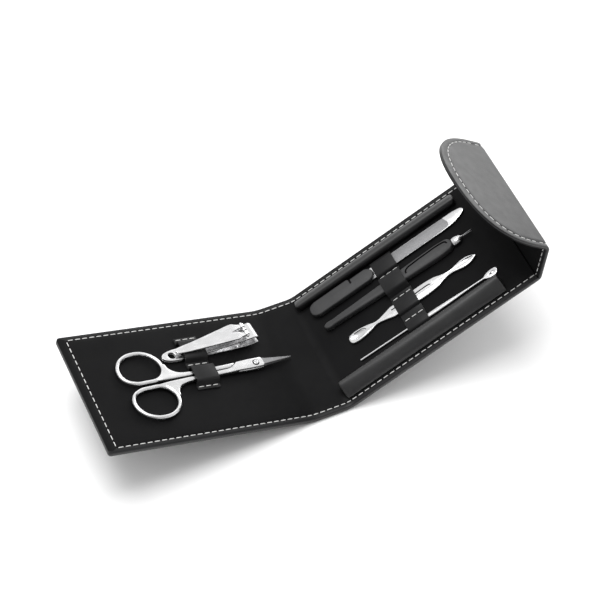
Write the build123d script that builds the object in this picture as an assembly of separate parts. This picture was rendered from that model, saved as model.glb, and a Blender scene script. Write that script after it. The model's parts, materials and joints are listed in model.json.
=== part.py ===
from build123d import *
import math
import os

# Manicure set case: a five-panel leatherette case that stands on its spine with both
# wings leaning open, and the six steel tools that its straps hold.
# Millimetres. Origin: middle of the spine's outer face. X runs along the case from the
# front wing (-X) to the back wing (+X), Y across it, Z up.

# ---------------------------------------------------------------- driving dimensions
CASE_WIDTH = 70.0          # across the case, along Y
SPINE_WIDTH = 19.4         # crease line to crease line
FRONT_LENGTH = 105.5       # front wing, from its crease line to its free edge
BACK_LENGTH = 108.0        # back wing, crease line to crease line
STRIP_WIDTH = 22.0         # flap strip, crease line to crease line
FLAP_DEPTH = 41.0          # flap, from its crease line to the tip of its round end
FLAP_STRAIGHT = 8.0        # straight sides of the flap before they curve in
PANEL_THICKNESS = 3.0      # wings and spine: cover, board and lining
FLAP_THICKNESS = 2.2       # flap strip and flap
LEATHER = 0.8              # one layer of leatherette
RIM = 4.5                  # stitched rim outside each board
CORNER_RADIUS = 1.6        # corners of the front wing's free edge

FRONT_TILT = 17.6          # how far each panel is turned up from its neighbour, degrees
BACK_TILT = 27.3
STRIP_TURN = 56.2
FLAP_TURN = 59.1

CLEARANCE = 0.3            # between panels when the case is shut
TOOL_GAP = 0.1             # between the lining and what lies on it
SLIVER = 0.02              # between pieces that are glued face to face

STITCH_PITCH = 3.6
STITCH_LENGTH = 2.5
STITCH_WIDTH = 0.5
STITCH_HEIGHT = 0.25
STITCH_INSET = 2.4         # from the long edges
END_STITCH_INSET = 4.3     # from the front wing's free edge

HALF_WIDTH = CASE_WIDTH / 2
HALF_SPINE = SPINE_WIDTH / 2

os.makedirs("parts", exist_ok=True)
made = {}


# ---------------------------------------------------------------- frames of the panels
def turned(angle):
    """A turn about Y that lifts +X by the angle."""
    return Rot(0, -angle, 0)


SPINE = Location((0, 0, 0))
FRONT = Pos(-HALF_SPINE, 0, 0) * turned(-FRONT_TILT)
BACK = Pos(HALF_SPINE, 0, 0) * turned(BACK_TILT)
STRIP = BACK * Pos(BACK_LENGTH, 0, 0) * turned(STRIP_TURN)
FLAP = STRIP * Pos(STRIP_WIDTH, 0, 0) * turned(FLAP_TURN)
FRONT_LINING = FRONT * Pos(0, 0, PANEL_THICKNESS)
BACK_LINING = BACK * Pos(0, 0, PANEL_THICKNESS)


def keep(name, frame, shapes):
    """Place a sub-part and write it to its own file."""
    solids = shapes if isinstance(shapes, list) else [shapes]
    placed = [frame * solid for one in solids for solid in one.solids()]
    whole = placed[0] if len(placed) == 1 else Compound(children=placed)
    whole.label = name
    export_step(whole, f"parts/{name}.step")
    made[name] = sum(solid.volume for solid in placed)


def slab(x_low, x_high, y_low, y_high, z_low, z_high):
    """A box between two corners."""
    size = (x_high - x_low, y_high - y_low, z_high - z_low)
    middle = ((x_low + x_high) / 2, (y_low + y_high) / 2, (z_low + z_high) / 2)
    return Pos(*middle) * Box(*size)


def plate(face, z_low, z_high):
    """A face drawn on XY, thickened between two heights."""
    return Pos(0, 0, z_low) * extrude(face, z_high - z_low)


def from_side(points, half_width):
    """A side view drawn on XZ, widened to both sides of the X axis."""
    return extrude(Plane.XZ * make_face(Polyline(*points, close=True)), half_width, both=True)


# ---------------------------------------------------------------- stitching
def stitch(x, y, heading, z):
    """One visible thread on a surface at height z, along the heading."""
    thread = Box(STITCH_LENGTH, STITCH_WIDTH, STITCH_HEIGHT)
    return Pos(x, y, z + STITCH_HEIGHT / 2) * Rot(0, 0, heading) * thread


def seam(start, end, z):
    """Threads evenly spaced along a straight seam."""
    length = math.dist(start, end)
    count = max(1, int(length / STITCH_PITCH))
    heading = math.degrees(math.atan2(end[1] - start[1], end[0] - start[0]))
    threads = []
    for number in range(count):
        share = (number + 0.5) / count
        x = start[0] + share * (end[0] - start[0])
        y = start[1] + share * (end[1] - start[1])
        threads.append(stitch(x, y, heading, z))
    return threads


def curved_seam(wire, z):
    """Threads evenly spaced along a curve drawn on XY."""
    count = int(wire.length / STITCH_PITCH)
    threads = []
    for number in range(count):
        share = (number + 0.5) / count
        point = wire @ share
        way = wire % share
        threads.append(stitch(point.X, point.Y, math.degrees(math.atan2(way.Y, way.X)), z))
    return threads


# ---------------------------------------------------------------- panels
def panel(name, frame, outline, board_face, thickness, insert=None):
    """Cover with a pocket for the board, the board in it, and the lining over both."""
    under_lining = thickness - LEATHER
    pocket = plate(board_face(0), LEATHER, under_lining)
    board = plate(board_face(SLIVER), LEATHER + SLIVER, under_lining - SLIVER)
    if insert:
        board -= insert
    keep(f"{name}_cover", frame, plate(outline, 0, under_lining - SLIVER) - pocket)
    keep(f"{name}_board", frame, board)
    keep(f"{name}_lining", frame, plate(outline, under_lining, thickness))


def strip_outline(x_low, x_high, inset=0.0):
    """A full-width rectangle, inset from the two long edges."""
    half = HALF_WIDTH - inset
    return Pos((x_low + x_high) / 2, 0) * Rectangle(x_high - x_low, 2 * half)


def strip_board(x_low, x_high):
    """A rectangular board inside the rim, as a function of the play left round it."""
    return lambda play: strip_outline(x_low + play, x_high - play, RIM + play)


def flap_outline(depth, half_width, straight, start):
    """Straight sides that curve in to one broad round end."""
    shoulder = (straight, half_width)
    tip = (depth, 0)
    lower = (straight, -half_width)
    bulge = 0.72
    reach = depth - straight
    upper_curve = Bezier(
        shoulder,
        (straight + 0.62 * reach, half_width),
        (depth, half_width * bulge),
        tip,
    )
    lower_curve = Bezier(
        tip,
        (depth, -half_width * bulge),
        (straight + 0.62 * reach, -half_width),
        lower,
    )
    sides = Line((start, half_width), shoulder) + upper_curve + lower_curve
    return sides + Line(lower, (start, -half_width))


def closed_flap(depth, half_width, straight, start):
    """The flap's outline as a face."""
    open_edge = flap_outline(depth, half_width, straight, start)
    return make_face(open_edge + Line((start, -half_width), (start, half_width)))


# Each panel stops short of the crease lines, so that the corners can fold square.
WING_START = CLEARANCE
SPINE_END = HALF_SPINE - PANEL_THICKNESS - CLEARANCE
BACK_END = BACK_LENGTH - FLAP_THICKNESS - CLEARANCE
STRIP_END = STRIP_WIDTH - FLAP_THICKNESS - CLEARANCE
CREASE_RIM = 1.0           # leather between a board and the crease beside it

# closure: a magnet in the flap meets a plate in the front wing
MAGNET_DEPTH = 27.0        # from the flap's crease line
MAGNET_RADIUS = 6.0
PLATE_RADIUS = 7.5
MAGNET_CELL = 0.1
keeper_x = -(BACK_LENGTH - MAGNET_DEPTH)

front_outline = strip_outline(-FRONT_LENGTH, -WING_START)
free_corners = front_outline.vertices().filter_by_position(Axis.X, -FRONT_LENGTH - 1, 1 - FRONT_LENGTH)
front_outline = fillet(free_corners, CORNER_RADIUS)
front_board = strip_board(-FRONT_LENGTH + RIM, -WING_START - CREASE_RIM)
keeper_seat = Pos(keeper_x, 0, PANEL_THICKNESS / 2) * Cylinder(
    PLATE_RADIUS + MAGNET_CELL, PANEL_THICKNESS
)
panel("front", FRONT, front_outline, front_board, PANEL_THICKNESS, keeper_seat)
board_low = LEATHER + SLIVER
keeper = Pos(keeper_x, 0) * Circle(PLATE_RADIUS)
keep("keeper_plate", FRONT, plate(keeper, board_low, board_low + 0.8))

spine_outline = strip_outline(-SPINE_END, SPINE_END)
spine_board = strip_board(-SPINE_END + CREASE_RIM, SPINE_END - CREASE_RIM)
panel("spine", SPINE, spine_outline, spine_board, PANEL_THICKNESS)

back_outline = strip_outline(WING_START, BACK_END)
back_board = strip_board(WING_START + CREASE_RIM, BACK_END - CREASE_RIM)
panel("back", BACK, back_outline, back_board, PANEL_THICKNESS)

middle_outline = strip_outline(WING_START, STRIP_END)
middle_board = strip_board(WING_START + CREASE_RIM, STRIP_END - CREASE_RIM)
panel("flap_strip", STRIP, middle_outline, middle_board, FLAP_THICKNESS)

flap_face = closed_flap(FLAP_DEPTH, HALF_WIDTH, FLAP_STRAIGHT, WING_START)


def flap_board(play):
    """The flap's board inside the rim, as a function of the play left round it."""
    inset = RIM + play
    return closed_flap(FLAP_DEPTH - inset, HALF_WIDTH - inset, FLAP_STRAIGHT, WING_START + CREASE_RIM + play)


magnet_seat = Pos(MAGNET_DEPTH, 0, FLAP_THICKNESS / 2) * Cylinder(
    MAGNET_RADIUS + MAGNET_CELL, FLAP_THICKNESS
)
panel("flap", FLAP, flap_face, flap_board, FLAP_THICKNESS, magnet_seat)
magnet_top = FLAP_THICKNESS - LEATHER - SLIVER
magnet = Pos(MAGNET_DEPTH, 0) * Circle(MAGNET_RADIUS)
keep("flap_magnet", FLAP, plate(magnet, board_low, magnet_top))


# ---------------------------------------------------------------- creases
def section_point(frame, x, z):
    """A point of a panel's side view, in the case's side view."""
    placed = (frame * Pos(x, 0, z)).position
    return (placed.X, placed.Z)


def crease(name, corners):
    """Soft leather that fills the corner between two panels, across the whole width."""
    keep(name, SPINE, from_side(corners, HALF_WIDTH))


crease("front_crease", [
    (-SPINE_END - SLIVER, 0),
    (-SPINE_END - SLIVER, PANEL_THICKNESS),
    section_point(FRONT, -WING_START + SLIVER, PANEL_THICKNESS),
    section_point(FRONT, -WING_START + SLIVER, 0),
    (-HALF_SPINE, 0),
])
crease("back_crease", [
    (SPINE_END + SLIVER, 0),
    (HALF_SPINE, 0),
    section_point(BACK, WING_START - SLIVER, 0),
    section_point(BACK, WING_START - SLIVER, PANEL_THICKNESS),
    (SPINE_END + SLIVER, PANEL_THICKNESS),
])
crease("flap_strip_crease", [
    section_point(BACK, BACK_END + SLIVER, 0),
    section_point(BACK, BACK_LENGTH, 0),
    section_point(STRIP, WING_START - SLIVER, 0),
    section_point(STRIP, WING_START - SLIVER, FLAP_THICKNESS),
    section_point(BACK, BACK_END + SLIVER, PANEL_THICKNESS),
])
crease("flap_crease", [
    section_point(STRIP, STRIP_END + SLIVER, 0),
    section_point(STRIP, STRIP_WIDTH, 0),
    section_point(FLAP, WING_START - SLIVER, 0),
    section_point(FLAP, WING_START - SLIVER, FLAP_THICKNESS),
    section_point(STRIP, STRIP_END + SLIVER, FLAP_THICKNESS),
])

# ---------------------------------------------------------------- seams round the case
seam_y = HALF_WIDTH - STITCH_INSET


def edge_seams(x_low, x_high, z):
    """The two seams along the long edges of a panel."""
    return seam((x_low, seam_y), (x_high, seam_y), z) + seam((x_low, -seam_y), (x_high, -seam_y), z)


end_seam_x = -FRONT_LENGTH + END_STITCH_INSET
front_seams = edge_seams(end_seam_x + 1, -WING_START - 0.5, PANEL_THICKNESS)
front_seams += seam((end_seam_x, -seam_y + 1), (end_seam_x, seam_y - 1), PANEL_THICKNESS)
keep("front_stitching", FRONT, front_seams)
keep("spine_stitching", SPINE, edge_seams(-SPINE_END + 0.5, SPINE_END - 0.5, PANEL_THICKNESS))
keep("flap_strip_stitching", STRIP, edge_seams(WING_START + 0.5, STRIP_END - 0.5, FLAP_THICKNESS))
flap_seam = flap_outline(FLAP_DEPTH - END_STITCH_INSET, seam_y, FLAP_STRAIGHT, WING_START + 1)
inner_threads = curved_seam(Wire(flap_seam.edges()), FLAP_THICKNESS)
outer_threads = curved_seam(Wire(flap_seam.edges()), -STITCH_HEIGHT)
keep("flap_stitching", FLAP, inner_threads + outer_threads)
keep("back_stitching", BACK, edge_seams(WING_START + 0.5, BACK_END - 0.5, PANEL_THICKNESS))

# ---------------------------------------------------------------- side bolsters
BOLSTER_START = 3.4
BOLSTER_END = 92.0
BOLSTER_HEIGHT = 7.0
BOLSTER_OUTER = 31.9       # beside the seam
UPPER_BOLSTER_INNER = 24.3
LOWER_BOLSTER_INNER = 22.7


def bolster_section(inner, shrink):
    """Half-round pad that stands steep on its inner side and runs out to the seam."""
    low = shrink
    height = BOLSTER_HEIGHT - shrink
    near = inner + shrink
    far = BOLSTER_OUTER - 2.2 * shrink
    wide = far - near
    outline = Line((near, low), (near, low + 0.45 * height)) + Bezier(
        (near, low + 0.45 * height),
        (near, height),
        (near + 0.22 * wide, height + 0.3 * shrink),
        (near + 0.42 * wide, height - 0.1 * height),
    )
    outline += Bezier(
        (near + 0.42 * wide, height - 0.1 * height),
        (near + 0.7 * wide, height - 0.25 * height),
        (near + 0.85 * wide, low + 0.35 * height),
        (far, low + 0.04 * height),
    )
    outline += Polyline((far, low + 0.04 * height), (far, low), (near, low))
    return make_face(outline)


def bolster(name, inner, side):
    """A foam core in a leather cover, along one long edge of the back wing."""
    stand = Plane((BOLSTER_START, 0, 0), x_dir=(0, side, 0), z_dir=(side, 0, 0))
    length = side * (BOLSTER_END - BOLSTER_START)
    cover_face = stand * bolster_section(inner, 0)
    core_face = stand * bolster_section(inner, LEATHER)
    outside = extrude(cover_face, length)
    core = extrude(core_face, length)
    keep(f"{name}_bolster_cover", BACK_LINING, outside - core)
    keep(f"{name}_bolster_foam", BACK_LINING, core)


bolster("upper", UPPER_BOLSTER_INNER, 1)
bolster("lower", LOWER_BOLSTER_INNER, -1)


# ---------------------------------------------------------------- straps
STRAP_THICKNESS = 0.8
STRAP_WIDTH = 11.6
FRONT_STRAP_X = -44.3      # middle of each strap, along its wing
BACK_STRAP_X = 48.6
STRAP_ROW_THREADS = 3


def band_top(points, thickness):
    """The points of a bent band's upper side, from those of its underside."""
    tops = []
    for number, (y, z) in enumerate(points):
        turns = []
        for a, b in ((number - 1, number), (number, number + 1)):
            if a >= 0 and b < len(points):
                run, rise = points[b][0] - points[a][0], points[b][1] - points[a][1]
                length = math.hypot(run, rise)
                turns.append((rise / length, -run / length))
        normal = [sum(turn[axis] for turn in turns) / len(turns) for axis in (0, 1)]
        scale = thickness / (normal[0] ** 2 + normal[1] ** 2)
        tops.append((y + scale * normal[0], z + scale * normal[1]))
    return tops


def strap(name, frame, middle, points, rows):
    """A leather band bent over the tools, held down by short rows of thread."""
    face = make_face(Polyline(*points, *reversed(band_top(points, STRAP_THICKNESS)), close=True))
    stand = Plane((middle, 0, 0), x_dir=(0, 1, 0), z_dir=(1, 0, 0))
    keep(name, frame, extrude(stand * face, STRAP_WIDTH / 2, both=True))
    threads = []
    for row_y in rows:
        threads += seam((middle - 0.47 * STRAP_WIDTH, row_y), (middle + 0.47 * STRAP_WIDTH, row_y),
                        STRAP_THICKNESS + SLIVER)
    keep(f"{name}_stitching", frame, threads)


# Undersides of the straps, across the case from the far side to the near side.
FLAT = SLIVER              # where a strap is sewn down
OVER_CLIPPER = 3.35
OVER_SCISSORS = 3.4
OVER_BLADE = 1.6
OVER_TRIMMER = 3.8
OVER_PUSHER = 1.8
OVER_PICK = 1.4
FRONT_ROWS = (21.6, 5.7, -6.7)
BACK_ROWS = (13.7, -0.9, -14.2)

front_strap_path = [
    (23.6, FLAT), (20.0, FLAT), (19.3, OVER_CLIPPER), (9.7, OVER_CLIPPER), (8.6, FLAT),
    (4.4, FLAT), (3.4, OVER_SCISSORS), (-4.7, OVER_SCISSORS), (-5.6, FLAT), (-8.2, FLAT),
]
back_strap_path = [
    (24.0, FLAT), (23.4, FLAT), (22.5, OVER_BLADE), (15.2, OVER_BLADE), (14.6, FLAT),
    (12.6, FLAT), (10.9, OVER_TRIMMER), (3.0, OVER_TRIMMER), (1.4, FLAT), (-1.9, FLAT),
    (-2.4, OVER_PUSHER), (-9.4, OVER_PUSHER), (-10.0, FLAT), (-15.5, FLAT),
    (-16.0, OVER_PICK), (-20.3, OVER_PICK), (-21.1, FLAT), (-22.4, FLAT),
]
strap("front_strap", FRONT_LINING, FRONT_STRAP_X, front_strap_path, FRONT_ROWS)
strap("back_strap", BACK_LINING, BACK_STRAP_X, back_strap_path, BACK_ROWS)

# ---------------------------------------------------------------- scissors
# Own frame: pivot at the origin, tip towards +X, both halves closed on the X axis.
SCISSORS_PIVOT = (-16.8, 0.75)
SCISSORS_GAP = 0.3         # over the lining, clear of the seam that they swing across
SCISSORS_TURN = 2.7
SCISSORS_PITCH = 0.7       # tip raised, because it lies over the spine past the crease
SCISSORS_TIP = 19.4
RING_WIRE = 2.0
RING_END = -68.8           # far end of the finger rings
BLADE_LAYER = 1.12
LAYER_GAP = 0.06
SCISSORS_THICKNESS = 2 * BLADE_LAYER + LAYER_GAP
LOBE_RADIUS = 8.3          # lobes stay inside this, shanks start outside it
SHANK_START = 8.6
RIVET_RADIUS = 1.25
RIVET_HOLE = 1.29
RIVET_HEAD = 0.3
TIP_THICKNESS = 1.0        # both blades together
TAPER_START = 4.0          # where the blades start to thin towards the tip
pivot_rise = SCISSORS_GAP - RING_END * math.tan(math.radians(SCISSORS_PITCH))
scissors_frame = (
    FRONT_LINING * Pos(SCISSORS_PIVOT[0], SCISSORS_PIVOT[1], pivot_rise)
    * Rot(0, 0, SCISSORS_TURN) * turned(SCISSORS_PITCH)
)


def softened(solid, radius, edges=None):
    """The solid with the given edges rounded, by as much as the shape allows."""
    chosen = edges if edges is not None else solid.edges()
    for share in (1.0, 0.6, 0.3):
        try:
            rounded = fillet(chosen, radius * share)
        except Exception:
            continue
        if rounded.is_valid and len(rounded.solids()) == 1:
            return rounded
    return solid


def scissors_plan():
    """The half with its ring on the +Y side, from above: ring, shank, lobe and blade."""
    top = (-56.5, 18.3)
    left = TangentArc(top, (-66.8, 9.8), tangent=(-1, 0))
    low_left = TangentArc(left @ 1, (-61.0, 2.6), tangent=left % 1)
    low = TangentArc(low_left @ 1, (-51.0, 2.9), tangent=low_left % 1)
    right = TangentArc(low @ 1, (-46.6, 9.8), tangent=low % 1)
    back_to_top = TangentArc(right @ 1, top, tangent=right % 1)
    opening = make_face(left + low_left + low + right + back_to_top)
    ring = offset(opening, RING_WIRE)
    shank = make_face(
        Spline((-44.6, 11.2), (-43.3, 7.0), (-39.4, 3.3), (-34.2, 2.5), tangents=((0, -1), (1, -0.1)))
        + Polyline(
            (-34.2, 2.5), (-21.0, 2.2), (-9.5, 2.2), (-5.0, 2.4), (-5.0, 0.12), (-8.0, 0.12),
            (-54.0, 0.5), (-54.0, 2.0), (-47.5, 4.5), (-45.5, 11.2), (-44.6, 11.2),
        )
    )
    lobe = make_face(Polyline(
        (-7.2, 2.4), (3.2, 2.7), (4.0, 1.6), (3.9, -1.9), (2.6, -2.7), (-6.6, -2.6),
        (-7.6, 0.0), close=True,
    ))
    blade = make_face(Polyline(
        (0, -2.0), (0, 2.0), (6.0, 1.55), (SCISSORS_TIP, 0.22), (SCISSORS_TIP, -0.12),
        (6.0, -1.5), close=True,
    ))
    return ring + shank - opening + lobe + blade


def tip_wedge(side):
    """What the taper takes off the blades, above (side 1) or below (side -1)."""
    middle = SCISSORS_THICKNESS / 2
    face = middle + side * middle
    tip = middle + side * TIP_THICKNESS / 2
    beyond = SCISSORS_TIP + 1
    return from_side([(TAPER_START, face), (SCISSORS_TIP, tip), (beyond, tip), (beyond, face)], 6)


def scissors_half(name, side, blade_low):
    """Full thickness at ring and shank, one layer at the pivot and blade."""
    body = plate(scissors_plan(), 0, SCISSORS_THICKNESS)
    if side < 0:
        body = mirror(body, Plane.XZ)
    other_low = BLADE_LAYER + LAYER_GAP / 2 if blade_low == 0 else -1
    other_high = SCISSORS_THICKNESS + 1 if blade_low == 0 else BLADE_LAYER + LAYER_GAP / 2
    other_middle = (other_low + other_high) / 2
    relief = Pos(0, 0, other_middle) * Cylinder(SHANK_START, other_high - other_low)
    relief += slab(0, SCISSORS_TIP + 1, -12, 12, other_low, other_high)
    body -= relief
    body -= tip_wedge(1) + tip_wedge(-1)
    for kind in (GeomType.CIRCLE, GeomType.BSPLINE):
        rims = [edge for edge in body.edges() if edge.geom_type == kind
                and edge.center().X < -SHANK_START - 1]
        body = softened(body, 0.6, rims)
    body -= Cylinder(RIVET_HOLE, 10)
    keep(name, scissors_frame, body)


scissors_half("scissors_upper_half", 1, 0)
scissors_half("scissors_lower_half", -1, BLADE_LAYER)
rivet = plate(Circle(RIVET_RADIUS), -0.06, SCISSORS_THICKNESS + RIVET_HEAD)
rivet = softened(rivet, 0.15, rivet.edges().sort_by(Axis.Z)[-1:])
keep("scissors_rivet", scissors_frame, rivet)

# ---------------------------------------------------------------- nail clipper
# Own frame: tail at the origin, mouth towards +X, lower jaw's underside at Z = 0.
CLIPPER_TAIL = (-60.8, 12.4)
CLIPPER_TURN = 6.1
CLIPPER_LENGTH = 50.8
TAIL_WIDTH = 6.6
MOUTH_WIDTH = 8.8
JAW_THICKNESS = 0.9
TAIL_RIVET_X = 9.6
TAIL_RIVET_RADIUS = 1.0
TAIL_HOLE_X = 5.2
TAIL_HOLE_RADIUS = 1.9
PIN_X = 43.7
PIN_RADIUS = 1.1
PIN_HOLE = 2.0
PIN_HEAD_RADIUS = 2.2
CROSSBAR_Z = 8.4
CROSSBAR_RADIUS = 0.6
CROSSBAR_HOLE = 0.66
LEVER_THICKNESS = 0.9
LEVER_TAIL_X = 6.8
LEVER_TAIL_WIDTH = 3.0
LEVER_WIDTH = 8.4
FORK_SLOT = 3.1            # between the lever's two tines
FORK_START = 37.0
BARREL_RADIUS = 1.15
clipper_frame = FRONT_LINING * Pos(CLIPPER_TAIL[0], CLIPPER_TAIL[1], TOOL_GAP) * Rot(0, 0, CLIPPER_TURN)


def jaw_plan():
    """A jaw from above: round tail, sides that widen towards the straight cutting edge."""
    tail = TAIL_WIDTH / 2
    mouth = MOUTH_WIDTH / 2
    outline = Line((tail, tail), (44.0, mouth)) + Line((44.0, mouth), (CLIPPER_LENGTH, mouth))
    outline += Line((CLIPPER_LENGTH, mouth), (CLIPPER_LENGTH, -mouth))
    outline += Line((CLIPPER_LENGTH, -mouth), (44.0, -mouth)) + Line((44.0, -mouth), (tail, -tail))
    outline += ThreePointArc((tail, -tail), (0, 0), (tail, tail))
    return make_face(outline)


def sprung_strip(lower_points, thickness):
    """A bent strip of steel: its underside, and its top a thickness above."""
    upper_points = [(x, z + thickness) for x, z in reversed(lower_points)]
    return lower_points + upper_points


def rise(x, start, end, low, high):
    """A smooth rise from one height to another between two places."""
    share = min(1.0, max(0.0, (x - start) / (end - start)))
    return low + (high - low) * share * share * (3 - 2 * share)


def jaw(side_points, holes):
    """A jaw: its side view, cut to the plan, with its holes."""
    solid = from_side(side_points, MOUTH_WIDTH) & plate(jaw_plan(), -5, 15)
    for x, radius in holes:
        solid -= Pos(x, 0, 4) * Cylinder(radius, 20)
    return solid


jaw_stations = [x * CLIPPER_LENGTH / 12 for x in range(12)]
lower_edge = [(x, rise(x, 38.0, CLIPPER_LENGTH, 0.3, 1.3)) for x in jaw_stations]
lower_side = sprung_strip(lower_edge, JAW_THICKNESS)
lower_side[len(lower_edge):len(lower_edge)] = [(CLIPPER_LENGTH, 3.1), (CLIPPER_LENGTH - 0.5, 3.1)]
lower_side[len(lower_edge):len(lower_edge)] = [(CLIPPER_LENGTH - 0.5, 1.3)]
UPPER_START = 1.26
upper_edge = [
    (x, UPPER_START + 0.05 * max(0.0, x - TAIL_RIVET_X) + rise(x, 18.0, 42.0, 0, 3.0))
    for x in jaw_stations
]
upper_side = sprung_strip(upper_edge, JAW_THICKNESS)
upper_side[len(upper_edge):len(upper_edge)] = [
    (CLIPPER_LENGTH - 0.7, 5.8), (CLIPPER_LENGTH, 5.7), (CLIPPER_LENGTH + 0.2, 6.6),
]
jaw_holes = [(TAIL_HOLE_X, TAIL_HOLE_RADIUS), (TAIL_RIVET_X, TAIL_RIVET_RADIUS + 0.03), (PIN_X, PIN_HOLE)]
keep("clipper_lower_jaw", clipper_frame, jaw(lower_side, jaw_holes))
keep("clipper_upper_jaw", clipper_frame, jaw(upper_side, jaw_holes))

tail_rivet = Pos(TAIL_RIVET_X, 0) * plate(Circle(TAIL_RIVET_RADIUS), 0.1, UPPER_START + JAW_THICKNESS + 0.35)
keep("clipper_tail_rivet", clipper_frame, tail_rivet)

pin = plate(Circle(PIN_HEAD_RADIUS), 0, 0.25) + plate(Circle(PIN_RADIUS), 0, CROSSBAR_Z)
pin += Pos(0, 0, CROSSBAR_Z) * Sphere(PIN_RADIUS)
pin += Pos(0, 0, CROSSBAR_Z) * Rot(90, 0, 0) * Cylinder(CROSSBAR_RADIUS, LEVER_WIDTH - 0.2)
keep("clipper_pin", clipper_frame, Pos(PIN_X, 0) * pin)

lever_edge = [
    (LEVER_TAIL_X, 4.2), (11.0, 4.4), (18.0, 4.8), (25.0, 5.5), (31.0, 6.4), (36.0, 7.2),
    (39.5, 7.7), (PIN_X, 8.0),
]
lever_side = from_side(sprung_strip(lever_edge, LEVER_THICKNESS), LEVER_WIDTH)
lever_side += Pos(PIN_X, 0, CROSSBAR_Z) * Rot(90, 0, 0) * Cylinder(BARREL_RADIUS, 2 * LEVER_WIDTH)
lever_plan = make_face(
    Line((LEVER_TAIL_X + 1.0, LEVER_TAIL_WIDTH / 2), (38.0, LEVER_WIDTH / 2))
    + Line((38.0, LEVER_WIDTH / 2), (46.0, LEVER_WIDTH / 2))
    + Line((46.0, LEVER_WIDTH / 2), (46.0, -LEVER_WIDTH / 2))
    + Line((46.0, -LEVER_WIDTH / 2), (38.0, -LEVER_WIDTH / 2))
    + Line((38.0, -LEVER_WIDTH / 2), (LEVER_TAIL_X + 1.0, -LEVER_TAIL_WIDTH / 2))
    + ThreePointArc(
        (LEVER_TAIL_X + 1.0, -LEVER_TAIL_WIDTH / 2),
        (LEVER_TAIL_X, 0),
        (LEVER_TAIL_X + 1.0, LEVER_TAIL_WIDTH / 2),
    )
)
fork = slab(FORK_START + FORK_SLOT / 2, 50, -FORK_SLOT / 2, FORK_SLOT / 2, 0, 15)
fork += Pos(FORK_START + FORK_SLOT / 2, 0, 7) * Cylinder(FORK_SLOT / 2, 16)
lever = (lever_side & plate(lever_plan, 0, 15)) - fork
lever -= Pos(PIN_X, 0, CROSSBAR_Z) * Rot(90, 0, 0) * Cylinder(CROSSBAR_HOLE, 2 * LEVER_WIDTH)
keep("clipper_lever", clipper_frame, lever)

# ---------------------------------------------------------------- nail file
FILE_Y = 19.15
FILE_HANDLE = (6.6, 42.5)
FILE_HANDLE_HEIGHT = 3.2
FILE_STEP_X = 30.6
BLADE_TIP_X = 95.0
BLADE_WIDTH = 6.2
BLADE_LOW = 0.5
BLADE_THICKNESS = 0.8
BLADE_Y = 18.7
file_frame = BACK_LINING * Pos(0, 0, TOOL_GAP)

handle_left = Pos((FILE_HANDLE[0] + FILE_STEP_X) / 2, FILE_Y) * Rectangle(
    FILE_STEP_X - FILE_HANDLE[0], 7.9
)
handle_left = fillet(handle_left.vertices().group_by(Axis.X)[0], 3.8)
handle_right = Pos((FILE_STEP_X + FILE_HANDLE[1]) / 2, FILE_Y - 0.5) * Rectangle(
    FILE_HANDLE[1] - FILE_STEP_X, 6.9
)
handle_right = fillet(handle_right.vertices().group_by(Axis.X)[-1], 3.2)
nick = Pos(FILE_STEP_X, FILE_Y + 3.0) * Rectangle(0.8, 4.2)
handle = plate(handle_left + handle_right - nick, 0, FILE_HANDLE_HEIGHT)
handle = softened(handle, 0.7, handle.edges().filter_by_position(Axis.Z, 3.1, 3.3))
blade_pocket = slab(24.0, 50.0, BLADE_Y - 3.14, BLADE_Y + 3.14, BLADE_LOW - 0.02, BLADE_LOW + 0.82)
keep("file_handle", file_frame, handle - blade_pocket)
half_blade = BLADE_WIDTH / 2
blade_face = make_face(
    Line((24.1, BLADE_Y + half_blade), (88.0, BLADE_Y + half_blade))
    + Bezier((88.0, BLADE_Y + half_blade), (93.0, BLADE_Y + half_blade), (BLADE_TIP_X, BLADE_Y + 2.0),
             (BLADE_TIP_X, BLADE_Y + 0.9))
    + Bezier((BLADE_TIP_X, BLADE_Y + 0.9), (BLADE_TIP_X, BLADE_Y - 0.4), (89.0, BLADE_Y - half_blade),
             (82.0, BLADE_Y - half_blade))
    + Line((82.0, BLADE_Y - half_blade), (24.1, BLADE_Y - half_blade))
    + Line((24.1, BLADE_Y - half_blade), (24.1, BLADE_Y + half_blade))
)
keep("file_blade", file_frame, plate(blade_face, BLADE_LOW, BLADE_LOW + BLADE_THICKNESS))

# ---------------------------------------------------------------- cuticle trimmer
# Own frame: on the tool's axis, X from the narrow end of the handle.
TRIMMER_START = (8.9, 7.3)
TRIMMER_TURN = -0.5
TRIMMER_HANDLE = 73.4
TRIMMER_HEIGHT = 3.5
GROOVE_START = 48.5
FERRULE_LENGTH = 5.8
FORK_LENGTH = 4.8
trimmer_frame = BACK_LINING * Pos(TRIMMER_START[0], TRIMMER_START[1], TOOL_GAP) * Rot(0, 0, TRIMMER_TURN)

bar = make_face(
    Spline((0.6, 1.2), (20.0, 2.1), (45.0, 3.0), (60.0, 3.45), (TRIMMER_HANDLE - 3.0, 3.2))
    + Line((TRIMMER_HANDLE - 3.0, 3.2), (TRIMMER_HANDLE, 2.2))
    + Line((TRIMMER_HANDLE, 2.2), (TRIMMER_HANDLE, -2.2))
    + Line((TRIMMER_HANDLE, -2.2), (TRIMMER_HANDLE - 3.0, -3.2))
    + Spline((TRIMMER_HANDLE - 3.0, -3.2), (60.0, -3.45), (45.0, -3.0), (20.0, -2.1), (0.6, -1.2))
    + ThreePointArc((0.6, -1.2), (0, 0), (0.6, 1.2))
)
trimmer_handle = plate(bar, 0, TRIMMER_HEIGHT)
trimmer_handle = softened(trimmer_handle, 0.8, trimmer_handle.edges().group_by(Axis.Z)[-1])
groove_path = SlotOverall(TRIMMER_HANDLE - 3.2 - GROOVE_START, 5.0)
groove = groove_path - offset(groove_path, -0.8)
groove_middle = (GROOVE_START + TRIMMER_HANDLE - 3.2) / 2
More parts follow.
